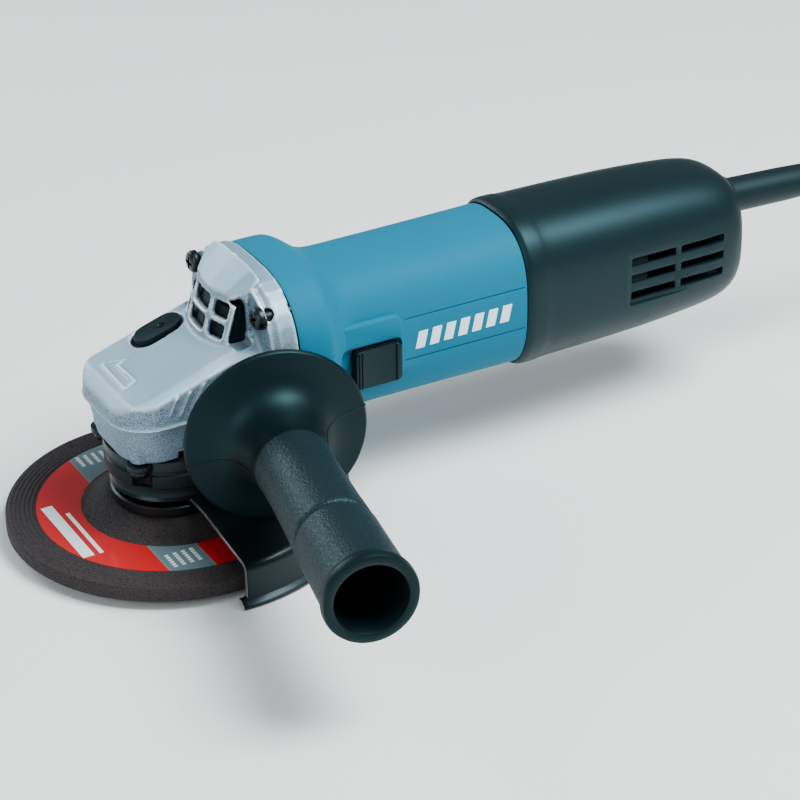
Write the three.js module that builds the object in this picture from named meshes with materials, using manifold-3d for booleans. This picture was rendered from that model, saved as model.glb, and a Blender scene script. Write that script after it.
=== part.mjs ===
// Angle grinder, millimetres, +Z up. The origin is the centre of the spindle's nose end face.
// +Z runs up the spindle, +X back along the motor, and the side handle stands out towards -Y.
import * as THREE from "three";
import { mergeVertices } from "three/addons/utils/BufferGeometryUtils.js";
import Module from "manifold-3d";

const wasm = await Module();
wasm.setup();

// Driving dimensions.
const wheelRadius = 62.5;
const wheelThickness = 6;
const wheelBottom = -1;
const hubRise = 5; // how far the wheel's centre is raised above its rim
const wheelBore = 11.3;
const motorHeight = 60.5; // the motor axis above the spindle's nose
const gap = 0.3; // kept between pieces that touch

const headFront = -27;
const headHalfWidth = 25.4;
const headBottom = 35;
const headLip = 51.2;
const headTopFront = 60.2; // height of the sloping top at x = -24.5
const headTopSlope = 0.317;
const flangeFront = 28.5;
const flangeBack = 39;
const flangeHalfWidth = 37;
const flangeHalfHeight = 37.5;
const flangeScrewY = 27;
const flangeScrewZ = 26.5;

const bodyHalfWidth = 27;
const bodyHalfHeight = 31;
const bodyBack = 141;
const coverBack = 247;
const sectionPower = 2.7; // roundness of the squarish body section

const gearTeeth = 37;
const pinionTeeth = 12;
const gearPitchRadius = 20;
const pinionPitchRadius = (gearPitchRadius * pinionTeeth) / gearTeeth;
const lockPinX = 2.5;
const lockPinY = 11.7;
const lockHoles = 12;

const handleYaw = THREE.MathUtils.degToRad(11); // the handle leans this much towards the head
const handleHeight = 50;
const handleLength = 116;
const handleRimX = 22.4;
const handleRimY = -47;

const cordDiameter = 7.8;
const coilTurnRadius = 6 * cordDiameter; // the middle turns of the coiled length
const floorHeight = -4.5; // the guard's lip, the lowest point

// Materials.
const finish = (color, roughness, metalness = 0) =>
  new THREE.MeshStandardMaterial({ color, roughness, metalness });
const aluminium = finish(0xc4cfd6, 0.38, 0.9);
const teal = finish(0x0096b9, 0.42);
const blackPlastic = finish(0x16201f, 0.45);
const gripPlastic = finish(0x1b2728, 0.55);
const blackSteel = finish(0x0d1112, 0.3, 0.6);
const steel = finish(0x9aa0a4, 0.35, 1);
const brass = finish(0xb08d4a, 0.35, 1);
const copper = finish(0xa85a32, 0.4, 1);
const carbon = finish(0x222222, 0.7);
const abrasive = finish(0x3a292b, 0.95);
const rubber = finish(0x1a2021, 0.75);

// Solids.
const quarterTurn = Math.PI / 2;

function solid(geometry) {
  const bare = geometry.clone();
  for (const name of Object.keys(bare.attributes)) {
    if (name !== "position") bare.deleteAttribute(name);
  }
  const merged = mergeVertices(bare, 1e-4);
  const vertProperties = new Float32Array(merged.attributes.position.array);
  const triVerts = new Uint32Array(merged.index.array);
  const make = () =>
    new wasm.Manifold(new wasm.Mesh({ numProp: 3, vertProperties, triVerts }));
  const made = make();
  if (made.volume() > 0) return made;
  triVerts.reverse();
  return make();
}

const join = (...solids) => solids.reduce((a, b) => a.add(b));
const cut = (body, ...tools) => tools.reduce((a, b) => a.subtract(b), body);

function geometryOf(body) {
  const { numProp, vertProperties, triVerts } = body.getMesh();
  const geometry = new THREE.BufferGeometry();
  const positions = new THREE.BufferAttribute(vertProperties, numProp);
  geometry.setAttribute("position", positions);
  geometry.setIndex(new THREE.BufferAttribute(triVerts, 1));
  geometry.computeVertexNormals();
  return geometry;
}

const grinder = new THREE.Group();

function piece(name, material, body, parent = grinder) {
  const mesh = new THREE.Mesh(geometryOf(body), material);
  mesh.name = name;
  parent.add(mesh);
  return mesh;
}

// A profile of [radius, height] points turned round Z.
function turned(profile, sides = 16) {
  const points = profile.map(([r, z]) => new THREE.Vector2(r, z));
  const first = profile[0];
  const last = profile[profile.length - 1];
  if (first[0] > 0 && last[0] > 0) points.push(points[0].clone());
  return solid(new THREE.LatheGeometry(points, sides).rotateX(quarterTurn));
}

// The same, turned round the motor axis, with [radius, x] points.
const turnedAlongX = (profile, sides) =>
  turned(profile, sides).rotate([0, 90, 0]).translate([0, 0, motorHeight]);

const rod = (radius, from, to, sides = 10) =>
  turned([[0, from], [radius, from], [radius, to], [0, to]], sides);

const ring = (outer, inner, from, to, sides = 16) =>
  turned([[inner, from], [outer, from], [outer, to], [inner, to]], sides);

const rodAlongX = (radius, from, to, sides = 16, centreZ = motorHeight) =>
  rod(radius, from, to, sides).rotate([0, 90, 0]).translate([0, 0, centreZ]);

// A box between two corners.
function block(low, high) {
  const size = high.map((h, i) => h - low[i]);
  const middle = high.map((h, i) => (h + low[i]) / 2);
  return solid(new THREE.BoxGeometry(...size)).translate(middle);
}

// A closed skin over rings that have the same number of points, with flat ends.
function loft(rings) {
  const count = rings[0].length;
  const positions = rings.flat().flatMap((p) => [p.x, p.y, p.z]);
  const index = [];
  for (let r = 0; r + 1 < rings.length; r++) {
    for (let i = 0; i < count; i++) {
      const a = r * count + i;
      const b = r * count + ((i + 1) % count);
      index.push(a, b, b + count, a, b + count, a + count);
    }
  }
  for (const end of [0, rings.length - 1]) {
    const centre = positions.length / 3;
    const middle = new THREE.Vector3();
    rings[end].forEach((p) => middle.addScaledVector(p, 1 / count));
    positions.push(middle.x, middle.y, middle.z);
    for (let i = 0; i < count; i++) {
      const a = end * count + i;
      const b = end * count + ((i + 1) % count);
      index.push(...(end ? [centre, a, b] : [centre, b, a]));
    }
  }
  const geometry = new THREE.BufferGeometry();
  const attribute = new THREE.Float32BufferAttribute(positions, 3);
  return solid(geometry.setAttribute("position", attribute).setIndex(index));
}

// A squarish oval across the motor axis.
function ovalRing(x, halfWidth, halfHeight, power = sectionPower, steps = 28) {
  const bend = (v) => Math.sign(v) * Math.abs(v) ** (2 / power);
  return Array.from({ length: steps }, (_, i) => {
    const angle = (i / steps) * 2 * Math.PI;
    const y = halfWidth * bend(Math.cos(angle));
    const z = motorHeight + halfHeight * bend(Math.sin(angle));
    return new THREE.Vector3(x, y, z);
  });
}

const ovalLoft = (stations) => loft(stations.map((s) => ovalRing(...s)));

// A flat outline lifted to a height, with the same points at every inset.
const lifted = (shape, z, segments = 5) =>
  shape.getPoints(segments).map((p) => new THREE.Vector3(p.x, p.y, z));

const prism = (shape, from, to, segments = 6) =>
  solid(
    new THREE.ExtrudeGeometry(shape, {
      depth: to - from,
      bevelEnabled: false,
      curveSegments: segments,
    }),
  ).translate([0, 0, from]);

function roundedBox(halfX, halfY, radius) {
  const shape = new THREE.Shape();
  const corner = (x, y, start) =>
    shape.absarc(x, y, radius, start, start + quarterTurn);
  corner(halfX - radius, halfY - radius, 0);
  corner(radius - halfX, halfY - radius, quarterTurn);
  corner(radius - halfX, radius - halfY, 2 * quarterTurn);
  corner(halfX - radius, radius - halfY, 3 * quarterTurn);
  shape.closePath();
  return shape;
}

// A pan head screw with a cross recess, its head's seat at z = 0 and its head towards +Z.
function screw(headRadius, headHeight, shankRadius, length) {
  const body = turned(
    [
      [0, -length],
      [shankRadius, -length],
      [shankRadius, 0],
      [headRadius, 0],
      [headRadius, headHeight * 0.5],
      [headRadius * 0.8, headHeight],
      [0, headHeight],
    ],
    10,
  );
  const reach = headRadius * 0.62;
  const slot = headRadius * 0.14;
  const floor = headHeight * 0.45;
  const top = headHeight + 1;
  return cut(
    body,
    block([-reach, -slot, floor], [reach, slot, top]),
    block([-slot, -reach, floor], [slot, reach, top]),
  );
}

// Gear housing: a head with a sloping top, a squarish flange and a louvred cowl.
function headOutline(inset) {
  const front = headFront + inset;
  const half = headHalfWidth - inset;
  const back = flangeFront + 3;
  const radius = 15;
  const shape = new THREE.Shape();
  shape.moveTo(back, half + 5);
  shape.lineTo(18, half);
  shape.absarc(front + radius, half - radius, radius, quarterTurn, Math.PI);
  shape.absarc(front + radius, radius - half, radius, Math.PI, 3 * quarterTurn);
  shape.lineTo(18, -half);
  shape.lineTo(back, -half - 5);
  return shape;
}

const topHeightAt = (x) => headTopFront + (x + 24.5) * headTopSlope;
const topAngle = Math.atan(headTopSlope);

// Everything above the sloping top, raised by lift.
const aboveTop = (lift = 0) =>
  block([-80, -60, 0], [80, 60, 60])
    .rotate([0, THREE.MathUtils.radToDeg(-topAngle), 0])
    .translate([0, 0, topHeightAt(0) + lift]);

function head() {
  const walls = loft([
    lifted(headOutline(3.4), headBottom),
    lifted(headOutline(1), headLip - 0.8),
    lifted(headOutline(0), headLip),
    lifted(headOutline(0.4), 90),
  ]);
  const shoulder = ovalLoft([
    [2, 17, 17],
    [18, 27, 28],
    [flangeFront + 2, flangeHalfWidth - 1, flangeHalfHeight - 1],
  ]);
  // The top's long edges are broken by a slope towards each side.
  const edge = (side) =>
    block([-90, 0, 0], [90, 20, 20])
      .rotate([-34, 0, 0])
      .translate([0, 21.4, 0])
      .scale([1, side, 1])
      .rotate([0, THREE.MathUtils.radToDeg(-topAngle), 0])
      .translate([0, 0, topHeightAt(0)]);
  const nose = block([-20, -60, 0], [0, 60, 20])
    .rotate([0, -40, 0])
    .translate([headFront + 4.5, 0, topHeightAt(headFront + 4.5)]);
  return cut(join(walls, shoulder), aboveTop(), edge(1), edge(-1), nose);
}

const cowlLean = Math.tan(THREE.MathUtils.degToRad(19));
const cowlBase = 70;
const cowlFront = 12.8; // x of the louvred wall at the cowl's base
const cowlHalfWidth = 19;
const cowlRadius = 40;
const cowlFrontAt = (y, z) =>
  cowlFront + (z - cowlBase) * cowlLean + (y * y) / (2 * cowlRadius);

// The cowl's outline in plan: a bowed front, rounded corners and straight sides.
function cowlRing(z, inset) {
  const half = cowlHalfWidth - inset;
  const steps = 8;
  const points = [new THREE.Vector3(flangeFront + 4, half, z)];
  for (let i = 0; i <= steps; i++) {
    const y = half * (1 - (2 * i) / steps);
    const corner = i === 0 || i === steps ? 2 : 0;
    points.push(new THREE.Vector3(cowlFrontAt(y, z) + inset + corner, y, z));
  }
  points.push(new THREE.Vector3(flangeFront + 4, -half, z));
  return points;
}

function cowl(inset) {
  const leaning = loft([cowlRing(60, inset), cowlRing(104, inset)]);
  const share = (x) => 1 - 0.0226 * (flangeFront - x);
  const roof = (x) => [
    x,
    flangeHalfWidth * share(x) - inset,
    flangeHalfHeight * share(x) - inset,
  ];
  return leaning.intersect(ovalLoft([roof(6), roof(flangeFront + 3.5)]));
}

function louvres() {
  const tools = [];
  for (const row of [77.4, 85.6]) {
    for (const y of [-11.4, 0, 11.4]) {
      const opening = prism(roundedBox(2.7, 4.1, 1), -7, 7, 1);
      const turn = THREE.MathUtils.radToDeg(Math.asin(y / cowlRadius));
      const place = [cowlFrontAt(y, row), y, row];
      tools.push(opening.rotate([0, 90 - 19, turn]).translate(place));
    }
  }
  return tools;
}

const buttonX = 5;
const buttonY = 15;
const buttonPocketDepth = 8;

function buttonOutline(grow = 0) {
  const radius = 5.9 + grow;
  const shape = new THREE.Shape();
  shape.absarc(4.1, 0, radius, -quarterTurn, quarterTurn);
  shape.absarc(-4.1, 0, radius, quarterTurn, 3 * quarterTurn);
  shape.closePath();
  return shape;
}

const handleDirection = new THREE.Vector3(
  -Math.sin(handleYaw),
  -Math.cos(handleYaw),
  0,
);
const handleTurn = new THREE.Quaternion().setFromUnitVectors(
  new THREE.Vector3(0, 0, 1),
  handleDirection,
);
const handleRim = new THREE.Vector3(handleRimX, handleRimY, handleHeight);
// A point on the handle's axis, at a distance outwards from its flange's rim.
const alongHandle = (distance) =>
  handleRim.clone().addScaledVector(handleDirection, distance);

// Places a solid that was made round Z on the handle's axis, or on its mirror image.
function onHandleAxis(body, distance = 0, side = 1) {
  const matrix = new THREE.Matrix4().compose(
    alongHandle(distance),
    handleTurn,
    new THREE.Vector3(1, 1, 1),
  );
  const placed = body.transform(matrix.elements);
  return side > 0 ? placed : placed.scale([1, -1, 1]);
}

const boxScrewPlaces = [1, -1].flatMap((sx) =>
  [1, -1].map((sy) => [sx * 18.6, sy * 16.4]),
);

function gearHousing() {
  const bosses = [1, -1].map((side) =>
    onHandleAxis(rod(11, -24, -8.5, 20), 0, side),
  );
  const feet = boxScrewPlaces.map(([x, y]) =>
    rod(3.7, headBottom, 45).translate([x, y, 0]),
  );
  const step = [flangeHalfWidth - 1.4, flangeHalfHeight - 1.4, 3, 36];
  const full = [flangeHalfWidth, flangeHalfHeight, 3, 36];
  const shell = join(
    head(),
    ovalLoft([
      [flangeFront, ...step],
      [flangeFront + 2.4, ...step],
      [flangeFront + 3, ...full],
      [flangeBack, ...full],
    ]),
    cowl(0),
    ...bosses,
    ...feet,
  );
  const gearChamber = rod(22.5, headBottom - 5, 57, 28);
  const topBearingBore = rod(6.2, 56, 63.4, 16);
  const pinionTunnel = rodAlongX(8.6, 10.5, 23);
  const bearingSeat = rodAlongX(13.2, 22.8, 36, 20);
  const boxRoom = prism(roundedBox(24.6, 24.6, 8), 10, headBottom - 0.02, 3);
  const lowerHeads = [1, -1].map((side) =>
    rodAlongX(5.2, 14, flangeFront).translate([0, side * flangeScrewY, -flangeScrewZ]),
  );
  const fanSide = ovalLoft([
    [flangeBack - 7, 31.5, 32],
    [flangeBack + 1, 31.5, 32],
  ]);
  const airway = cut(cowl(2.6), block([-60, -60, 0], [60, 60, 73.4]));
  const duct = block([24, -15, 74], [flangeBack + 1, 15, 91]);
  const sideWindow = (side) => {
    const outline = new THREE.Shape();
    outline.moveTo(20.3, 75.4);
    outline.lineTo(26.6, 77);
    outline.lineTo(26.2, 90);
    return prism(outline, 15, 24)
      .rotate([90, 0, 0])
      .translate([0, side > 0 ? 39 : 0, 0]);
  };
  const screwHoles = [1, -1].flatMap((sy) =>
    [1, -1].map((sz) =>
      rod(2.9, 20, 45)
        .rotate([0, 90, 0])
        .translate([0, sy * flangeScrewY, motorHeight + sz * flangeScrewZ]),
    ),
  );
  const boxScrewHoles = boxScrewPlaces.map(([x, y]) =>
    rod(2.2, headBottom - 5, 47, 8).translate([x, y, 0]),
  );
  const pocketTop = topHeightAt(buttonX) + 20;
  const pocket = prism(
    buttonOutline(0.4),
    topHeightAt(buttonX) - buttonPocketDepth,
    pocketTop,
  ).translate([buttonX, buttonY, 0]);
  const pinHole = rod(2.2, 50, pocketTop).translate([lockPinX, lockPinY, 0]);
  const studHoles = [1, -1].map((side) =>
    onHandleAxis(rod(4.3, -22.5, 0, 14), 0, side),
  );
  return cut(
    shell,
    gearChamber,
    topBearingBore,
    pinionTunnel,
    bearingSeat,
    fanSide,
    airway,
    duct,
    sideWindow(-1),
    sideWindow(1),
    ...louvres(),
    ...screwHoles,
    ...boxScrewHoles,
    ...studHoles,
    ...lowerHeads,
    boxRoom,
    pocket,
    pinHole,
  );
}

piece("gear_housing", aluminium, gearHousing());

// Bearing box: a black casting screwed under the head, which holds the spindle's bearing.
const boxPlateTop = headBottom - gap;
const bearingFloor = 24;
const neckRadius = 19.2;
const screwSeat = 32.6; // underside of the ears, where the screw heads sit

function bearingBox() {
  const ears = boxScrewPlaces.map(([x, y]) =>
    rod(4.8, screwSeat, boxPlateTop, 12).translate([x, y, 0]),
  );
  const tube = turned([
    [10.2, 15.6],
    [neckRadius, 15.6],
    [neckRadius, 22.9],
    [24, 23.2],
    [24, boxPlateTop],
    [22, boxPlateTop],
    [22, 37.4],
    [16.2, 37.4],
    [16.2, bearingFloor],
    [10.2, bearingFloor],
  ], 32);
  const bore = rod(16.2, bearingFloor, 40, 32);
  const holes = boxScrewPlaces.map(([x, y]) =>
    rod(2.2, 25, 40, 8).translate([x, y, 0]),
  );
  const seats = boxScrewPlaces.map(([x, y]) =>
    rod(4.3, 20, screwSeat).translate([x, y, 0]),
  );
  return cut(join(tube, ...ears), bore, ...holes, ...seats);
}

piece("bearing_box", blackSteel, bearingBox());
piece("bearing_retainer", steel, ring(21.6, 12.5, 37.7, 39.2, 24));

boxScrewPlaces.forEach(([x, y], i) => {
  const one = piece(`bearing_box_screw_${i + 1}`, steel, screw(3.8, 3, 1.9, 13));
  one.position.set(x, y, screwSeat - 0.1);
  one.rotation.x = Math.PI;
});

// Spindle and what turns with it.
const spindleParts = new THREE.Group();
grinder.add(spindleParts);

const spindleProfile = [
  [0, 0],
  [6.5, 0],
  [7, 0.6],
  [7, 15],
  [9.6, 15.2],
  [9.6, 17.5],
  [8, 18],
  [8, 24.3],
  [6, 24.3],
  [6, 52.4],
  [4, 52.7],
  [4, 62.6],
  [0, 62.6],
];
piece("spindle", steel, turned(spindleProfile), spindleParts);

function bearingRings(name, outer, inner, from, to, parent, innerParent) {
  const split = (outer + inner) / 2;
  const outerRing = ring(outer, split + 1.3, from, to);
  const innerRing = ring(split - 1.3, inner, from, to);
  piece(`${name}_outer_ring`, steel, outerRing, parent);
  piece(`${name}_inner_ring`, steel, innerRing, innerParent);
}
bearingRings("spindle_bearing", 15.9, 6.3, 24.6, 34.2, grinder, spindleParts);
piece("top_needle_bearing", steel, ring(5.9, 4.3, 57.3, 63.1));

// One end of a bevel gear's teeth, on its back cone scaled about the apex.
function toothRing(teeth, radius, depth, scale) {
  const addendum = 0.95;
  const dedendum = 1.3;
  const slant = Math.hypot(radius, depth);
  const level = (rise) => [
    (radius + (rise * depth) / slant) * scale,
    (-depth + (rise * radius) / slant) * scale,
  ];
  const tip = level(addendum);
  const root = level(-dedendum);
  const pitch = (2 * Math.PI) / teeth;
  const points = [];
  for (let i = 0; i < teeth; i++) {
    const offsets = [-0.34, -0.1, 0.1, 0.34];
    offsets.forEach((share, k) => {
      const [r, z] = k === 0 || k === 3 ? root : tip;
      const angle = (i + share) * pitch;
      points.push(new THREE.Vector3(r * Math.cos(angle), r * Math.sin(angle), z));
    });
  }
  return points;
}

const innerShare = 0.79; // how far towards the apex the teeth reach

function bevelTeeth(teeth, radius, depth, skirtRadius, skirtDepth) {
  const outer = toothRing(teeth, radius, depth, 1);
  const skirt = outer.map((p) => {
    const flat = Math.hypot(p.x, p.y);
    const scale = skirtRadius / flat;
    return new THREE.Vector3(p.x * scale, p.y * scale, -skirtDepth);
  });
  return loft([toothRing(teeth, radius, depth, innerShare), outer, skirt]);
}

function bevelGear() {
  const teeth = bevelTeeth(
    gearTeeth,
    gearPitchRadius,
    pinionPitchRadius,
    gearPitchRadius + 0.4,
    motorHeight - 46,
  )
    .rotate([0, 0, 180 / gearTeeth])
    .translate([0, 0, motorHeight]);
  const holes = Array.from({ length: lockHoles }, (_, i) => {
    const angle = Math.atan2(lockPinY, lockPinX) + (i * 2 * Math.PI) / lockHoles;
    const reach = Math.hypot(lockPinX, lockPinY);
    const place = [reach * Math.cos(angle), reach * Math.sin(angle), 0];
    return rod(2, 47, 60, 8).translate(place);
  });
  const hub = rod(9.3, 40.6, 52.2, 16);
  return cut(
    join(cut(teeth, rod(14.7, 51.9, 60, 24)), hub),
    ...holes,
    rod(6.2, 38, 60, 16),
  );
}
piece("bevel_gear", steel, bevelGear(), spindleParts);
piece("inner_flange", blackSteel, turned([
  [wheelBore - 4, 8],
  [wheelBore - 0.3, 8],
  [wheelBore - 0.3, 10.3],
  [22.3, 10.3],
  [22.3, 13.8],
  [21.3, 14.6],
  [wheelBore - 4, 14.6],
], 24), spindleParts);

const rimTop = wheelBottom + wheelThickness;
const hubTop = rimTop + hubRise;
piece("grinding_wheel", abrasive, turned([
  [wheelBore, hubTop - wheelThickness],
  [24.5, hubTop - wheelThickness],
  [33, wheelBottom],
  [wheelRadius, wheelBottom],
  [wheelRadius, rimTop],
  [34, rimTop],
  [24, hubTop],
  [wheelBore, hubTop],
], 40), spindleParts);

function lockNut() {
  const body = turned([
    [7.3, 0.4],
    [19, 0.4],
    [19.6, 1],
    [19.6, 3.7],
    [11, 3.7],
    [11, 6],
    [7.3, 6],
  ], 24);
  const holes = [0, 1, 2, 3].map((i) => {
    const angle = (i + 0.5) * quarterTurn;
    const place = [15 * Math.cos(angle), 15 * Math.sin(angle), 0];
    return rod(2.4, -1, 5).translate(place);
  });
  return cut(body, ...holes);
}
piece("lock_nut", steel, lockNut(), spindleParts);

// Wheel guard: half a drum of pressed steel on a collar round the bearing box's neck.
const guardParts = new THREE.Group();
grinder.add(guardParts);
const guardFront = -1.5; // x of the straight front edge
const guardRadius = 68;
const lipTop = floorHeight + 3.4; // the rolled lip runs a little further forward
const clampAngle = 62; // where the collar's clamp stands, degrees from +X
const clampHeight = 20.1;

function wheelGuard() {
  const half = turned([
    [neckRadius + gap, 15.8],
    [33, 15.8],
    [guardRadius - 4.4, 11.4],
    [guardRadius - 1.8, 8.8],
    [guardRadius - 1.8, floorHeight + 1.6],
    [guardRadius + 1.5, floorHeight],
    [guardRadius + 2.6, floorHeight + 0.6],
    [guardRadius + 2.4, floorHeight + 1.8],
    [guardRadius, lipTop],
    [guardRadius, 9.6],
    [guardRadius - 3.4, 13],
    [33, 17.4],
    [neckRadius + gap, 17.4],
  ], 40);
  const front = block([-90, -90, lipTop], [guardFront, 90, 40]);
  const lipFront = block([-90, -90, -20], [guardFront - 2.6, 90, lipTop + 1]);
  const collar = ring(21.4, neckRadius + gap, 15.8, 22.4, 32);
  const ears = block([18, -6.2, 16], [31, 6.2, 22.2]);
  const slit = block([18.5, -1.2, 15], [32, 1.2, 30]);
  const bore = rod(1.9, -20, 20, 10)
    .rotate([90, 0, 0])
    .translate([26.5, 0, clampHeight]);
  const clamp = cut(ears, slit, bore, rod(neckRadius + gap, 0, 40, 32));
  const turnedClamp = clamp.rotate([0, 0, clampAngle]);
  const turnedSlit = block([18.5, -1.2, 17.6], [32, 1.2, 30])
    .rotate([0, 0, clampAngle]);
  const drum = cut(half, front, lipFront);
  return join(drum, cut(collar, turnedSlit), turnedClamp);
}
piece("wheel_guard", blackSteel, wheelGuard(), guardParts);

const clampGroup = new THREE.Group();
clampGroup.rotation.z = THREE.MathUtils.degToRad(clampAngle);
guardParts.add(clampGroup);
const clampScrew = piece(
  "guard_clamp_screw",
  steel,
  screw(2.4, 2.2, 1.6, 17).translate([0, 0, gap]),
  clampGroup,
);
clampScrew.position.set(26.5, -6.2, clampHeight);
clampScrew.rotation.x = quarterTurn;
const hexNut = (across, bore, height) =>
  cut(rod(across / 2 / Math.cos(Math.PI / 6), 0, height, 6), rod(bore, -1, 9));
const clampNut = piece("guard_clamp_nut", steel, hexNut(4.2, 1.8, 2.8), clampGroup);
clampNut.position.set(26.5, 9.3, clampHeight);
clampNut.rotation.x = quarterTurn;

// Shaft lock: a button on the head's top, whose pin drops into the bevel gear's holes.
const lockParts = new THREE.Group();
grinder.add(lockParts);
const buttonTop = topHeightAt(buttonX) + 1.6;
function shaftLockButton() {
  const tilt = -THREE.MathUtils.radToDeg(topAngle);
  const level = (height) =>
    block([-30, -30, 0], [30, 30, 30])
      .rotate([0, tilt, 0])
      .translate([0, 0, height]);
  const cap = prism(buttonOutline(), 40, buttonTop + 10, 7);
  const whole = cut(cap, level(buttonTop));
  return whole.intersect(level(buttonTop - 3));
}
piece("shaft_lock_button", blackPlastic, shaftLockButton(), lockParts).position.set(
  buttonX,
  buttonY,
  0,
);
const lockPinTop = topHeightAt(lockPinX) - 2.2;
piece("shaft_lock_pin", steel, turned([
  [0, 52.3],
  [1.3, 52.3],
  [1.6, 52.7],
  [1.6, lockPinTop],
  [0, lockPinTop],
], 10), lockParts).position.set(lockPinX, lockPinY, 0);

// Motor line: these pieces are made round Z and laid along the motor axis.
const motorLine = new THREE.Group();
motorLine.position.z = motorHeight;
motorLine.rotation.y = quarterTurn;
grinder.add(motorLine);
const armatureParts = new THREE.Group();
motorLine.add(armatureParts);

const coreFront = 70;
const coreBack = 108;
const commutatorFront = 118;
const commutatorBack = 131;
const commutatorRadius = 12;
const rearBearingFront = 140;
const shaftProfile = [
  [0, 10.8],
  [2.8, 10.8],
  [2.8, 14.4],
  [3.5, 14.4],
  [3.5, 24.3],
  [5, 24.3],
  [5, 34.5],
  [6, 34.5],
  [6, coreFront - 8.5],
  [5.4, coreFront - 8.5],
  [5.4, commutatorBack + 1],
  [5, commutatorBack + 1],
  [5, rearBearingFront - 0.5],
  [3.9, rearBearingFront - 0.5],
  [3.9, rearBearingFront + 8],
  [0, rearBearingFront + 8],
];
piece("armature_shaft", steel, turned(shaftProfile), armatureParts);

function bevelPinion() {
  const teeth = bevelTeeth(
    pinionTeeth,
    pinionPitchRadius,
    gearPitchRadius,
    pinionPitchRadius + 0.2,
    gearPitchRadius + 2.6,
  ).mirror([0, 0, 1]);
  return cut(teeth, rod(3.8, 0, 40));
}
piece("bevel_pinion", steel, bevelPinion(), armatureParts);
const pinionNut = piece("pinion_nut", steel, hexNut(8, 3, 2.2), armatureParts);
pinionNut.position.z = 12;

bearingRings("front_bearing", 13, 5.3, 24.6, 33.4, motorLine, armatureParts);
bearingRings(
  "rear_bearing",
  11,
  4.2,
  rearBearingFront,
  rearBearingFront + 7,
  motorLine,
  armatureParts,
);

function coolingFan() {
  const disc = turned([
    [6.3, 40.6],
    [10, 40.6],
    [10, 46.5],
    [28, 48.2],
    [28, 49.8],
    [6.3, 49.8],
  ], 22);
  const blades = Array.from({ length: 11 }, (_, i) =>
    block([14, -0.8, 42], [27.6, 0.8, 49])
      .rotate([0, 0, -18])
      .translate([0, 3, 0])
      .rotate([0, 0, (i * 360) / 11]),
  );
  return cut(join(disc, ...blades), rod(6.3, 30, 60, 16));
}
piece("cooling_fan", steel, coolingFan(), armatureParts);

function armatureCore() {
  const core = ring(14.6, 5.7, coreFront, coreBack, 24);
  const slots = Array.from({ length: 12 }, (_, i) =>
    block([10, -0.7, coreFront - 1], [15, 0.7, coreBack + 1]).rotate([0, 0, i * 30]),
  );
  return cut(core, ...slots);
}
piece("armature_core", steel, armatureCore(), armatureParts);
piece("armature_winding_front", copper, turned([
  [5.7, coreFront - 7.5],
  [10.5, coreFront - 7.5],
  [13.6, coreFront - 4],
  [13.6, coreFront - gap],
  [5.7, coreFront - gap],
], 20), armatureParts);
piece("armature_winding_rear", copper, turned([
  [5.7, coreBack + gap],
  [13.6, coreBack + gap],
  [13.6, coreBack + 4],
  [10.5, commutatorFront - gap],
  [5.7, commutatorFront - gap],
], 20), armatureParts);
const commutatorRing = ring(commutatorRadius, 5.7, commutatorFront, commutatorBack, 20);
piece("commutator", copper, commutatorRing, armatureParts);

// Field: an iron ring with two poles, and a coil round each pole. Here the motor's up is local -X.
const statorRadius = 22;
const statorBore = 15.4;
const statorInner = 18.9;
const poleHalfWidth = 8;
function statorCore() {
  const yoke = ring(statorRadius, statorInner, coreFront, coreBack, 28);
  const pole = (side) =>
    block([13, -poleHalfWidth, coreFront], [20, poleHalfWidth, coreBack]).scale([side, 1, 1]);
  return cut(join(yoke, pole(1), pole(-1)), rod(statorBore, 0, 200, 24));
}
piece("stator_core", steel, statorCore(), motorLine);

function fieldCoil(side) {
  const band = ring(18.6, statorBore + 0.1, coreFront - 6, coreBack + 6, 28);
  const window = block([5, -15.5, 0], [25, 15.5, 200]);
  const hole = block(
    [0, -poleHalfWidth - gap, coreFront - 0.6],
    [25, poleHalfWidth + gap, coreBack + 0.6],
  );
  return cut(band.intersect(window), hole).scale([side, 1, 1]);
}
piece("field_coil_upper", copper, fieldCoil(-1), motorLine);
piece("field_coil_lower", copper, fieldCoil(1), motorLine);

// Brushes stand on the commutator's two sides in brass boxes.
const brushX = (commutatorFront + commutatorBack) / 2;
for (const [name, side] of [["left", -1], ["right", 1]]) {
  const reach = (low, high, y0, y1) =>
    block([-high, y0, brushX - low], [high, y1, brushX + low]).scale([1, side, 1]);
  const brush = reach(4, 2.8, commutatorRadius + 0.3, 21.4);
  const box = cut(reach(5.2, 4, 14, 23.2), reach(4.3, 3.1, 10, 22.3));
  piece(`carbon_brush_${name}`, carbon, brush, motorLine);
  piece(`brush_holder_${name}`, brass, box, motorLine);
}

// Motor housing: flared to the gear housing's flange, then a squarish barrel.
const housingFront = flangeBack + gap;
const ringPower = 3;
const housingStations = [
  [housingFront, flangeHalfWidth, flangeHalfHeight, ringPower],
  [52.4, flangeHalfWidth, flangeHalfHeight, ringPower],
  [55, 35.8, 36.6, 2.9],
  [58.6, 31, 33.4, 2.8],
  [62, 27.8, 31],
  [67, bodyHalfWidth - 0.4, bodyHalfHeight - 1],
  [100, bodyHalfWidth - 0.4, bodyHalfHeight - 1],
  [bodyBack, bodyHalfWidth, bodyHalfHeight - 0.6],
];
const spigotBack = bodyBack + 9;
const switchX = 75;
const switchZ = 55;
const switchHalfLength = 10;
const switchHalfHeight = 8;
const switchTravel = 6;
const rodLow = 43.8;
const rodHigh = 48.4;

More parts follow.
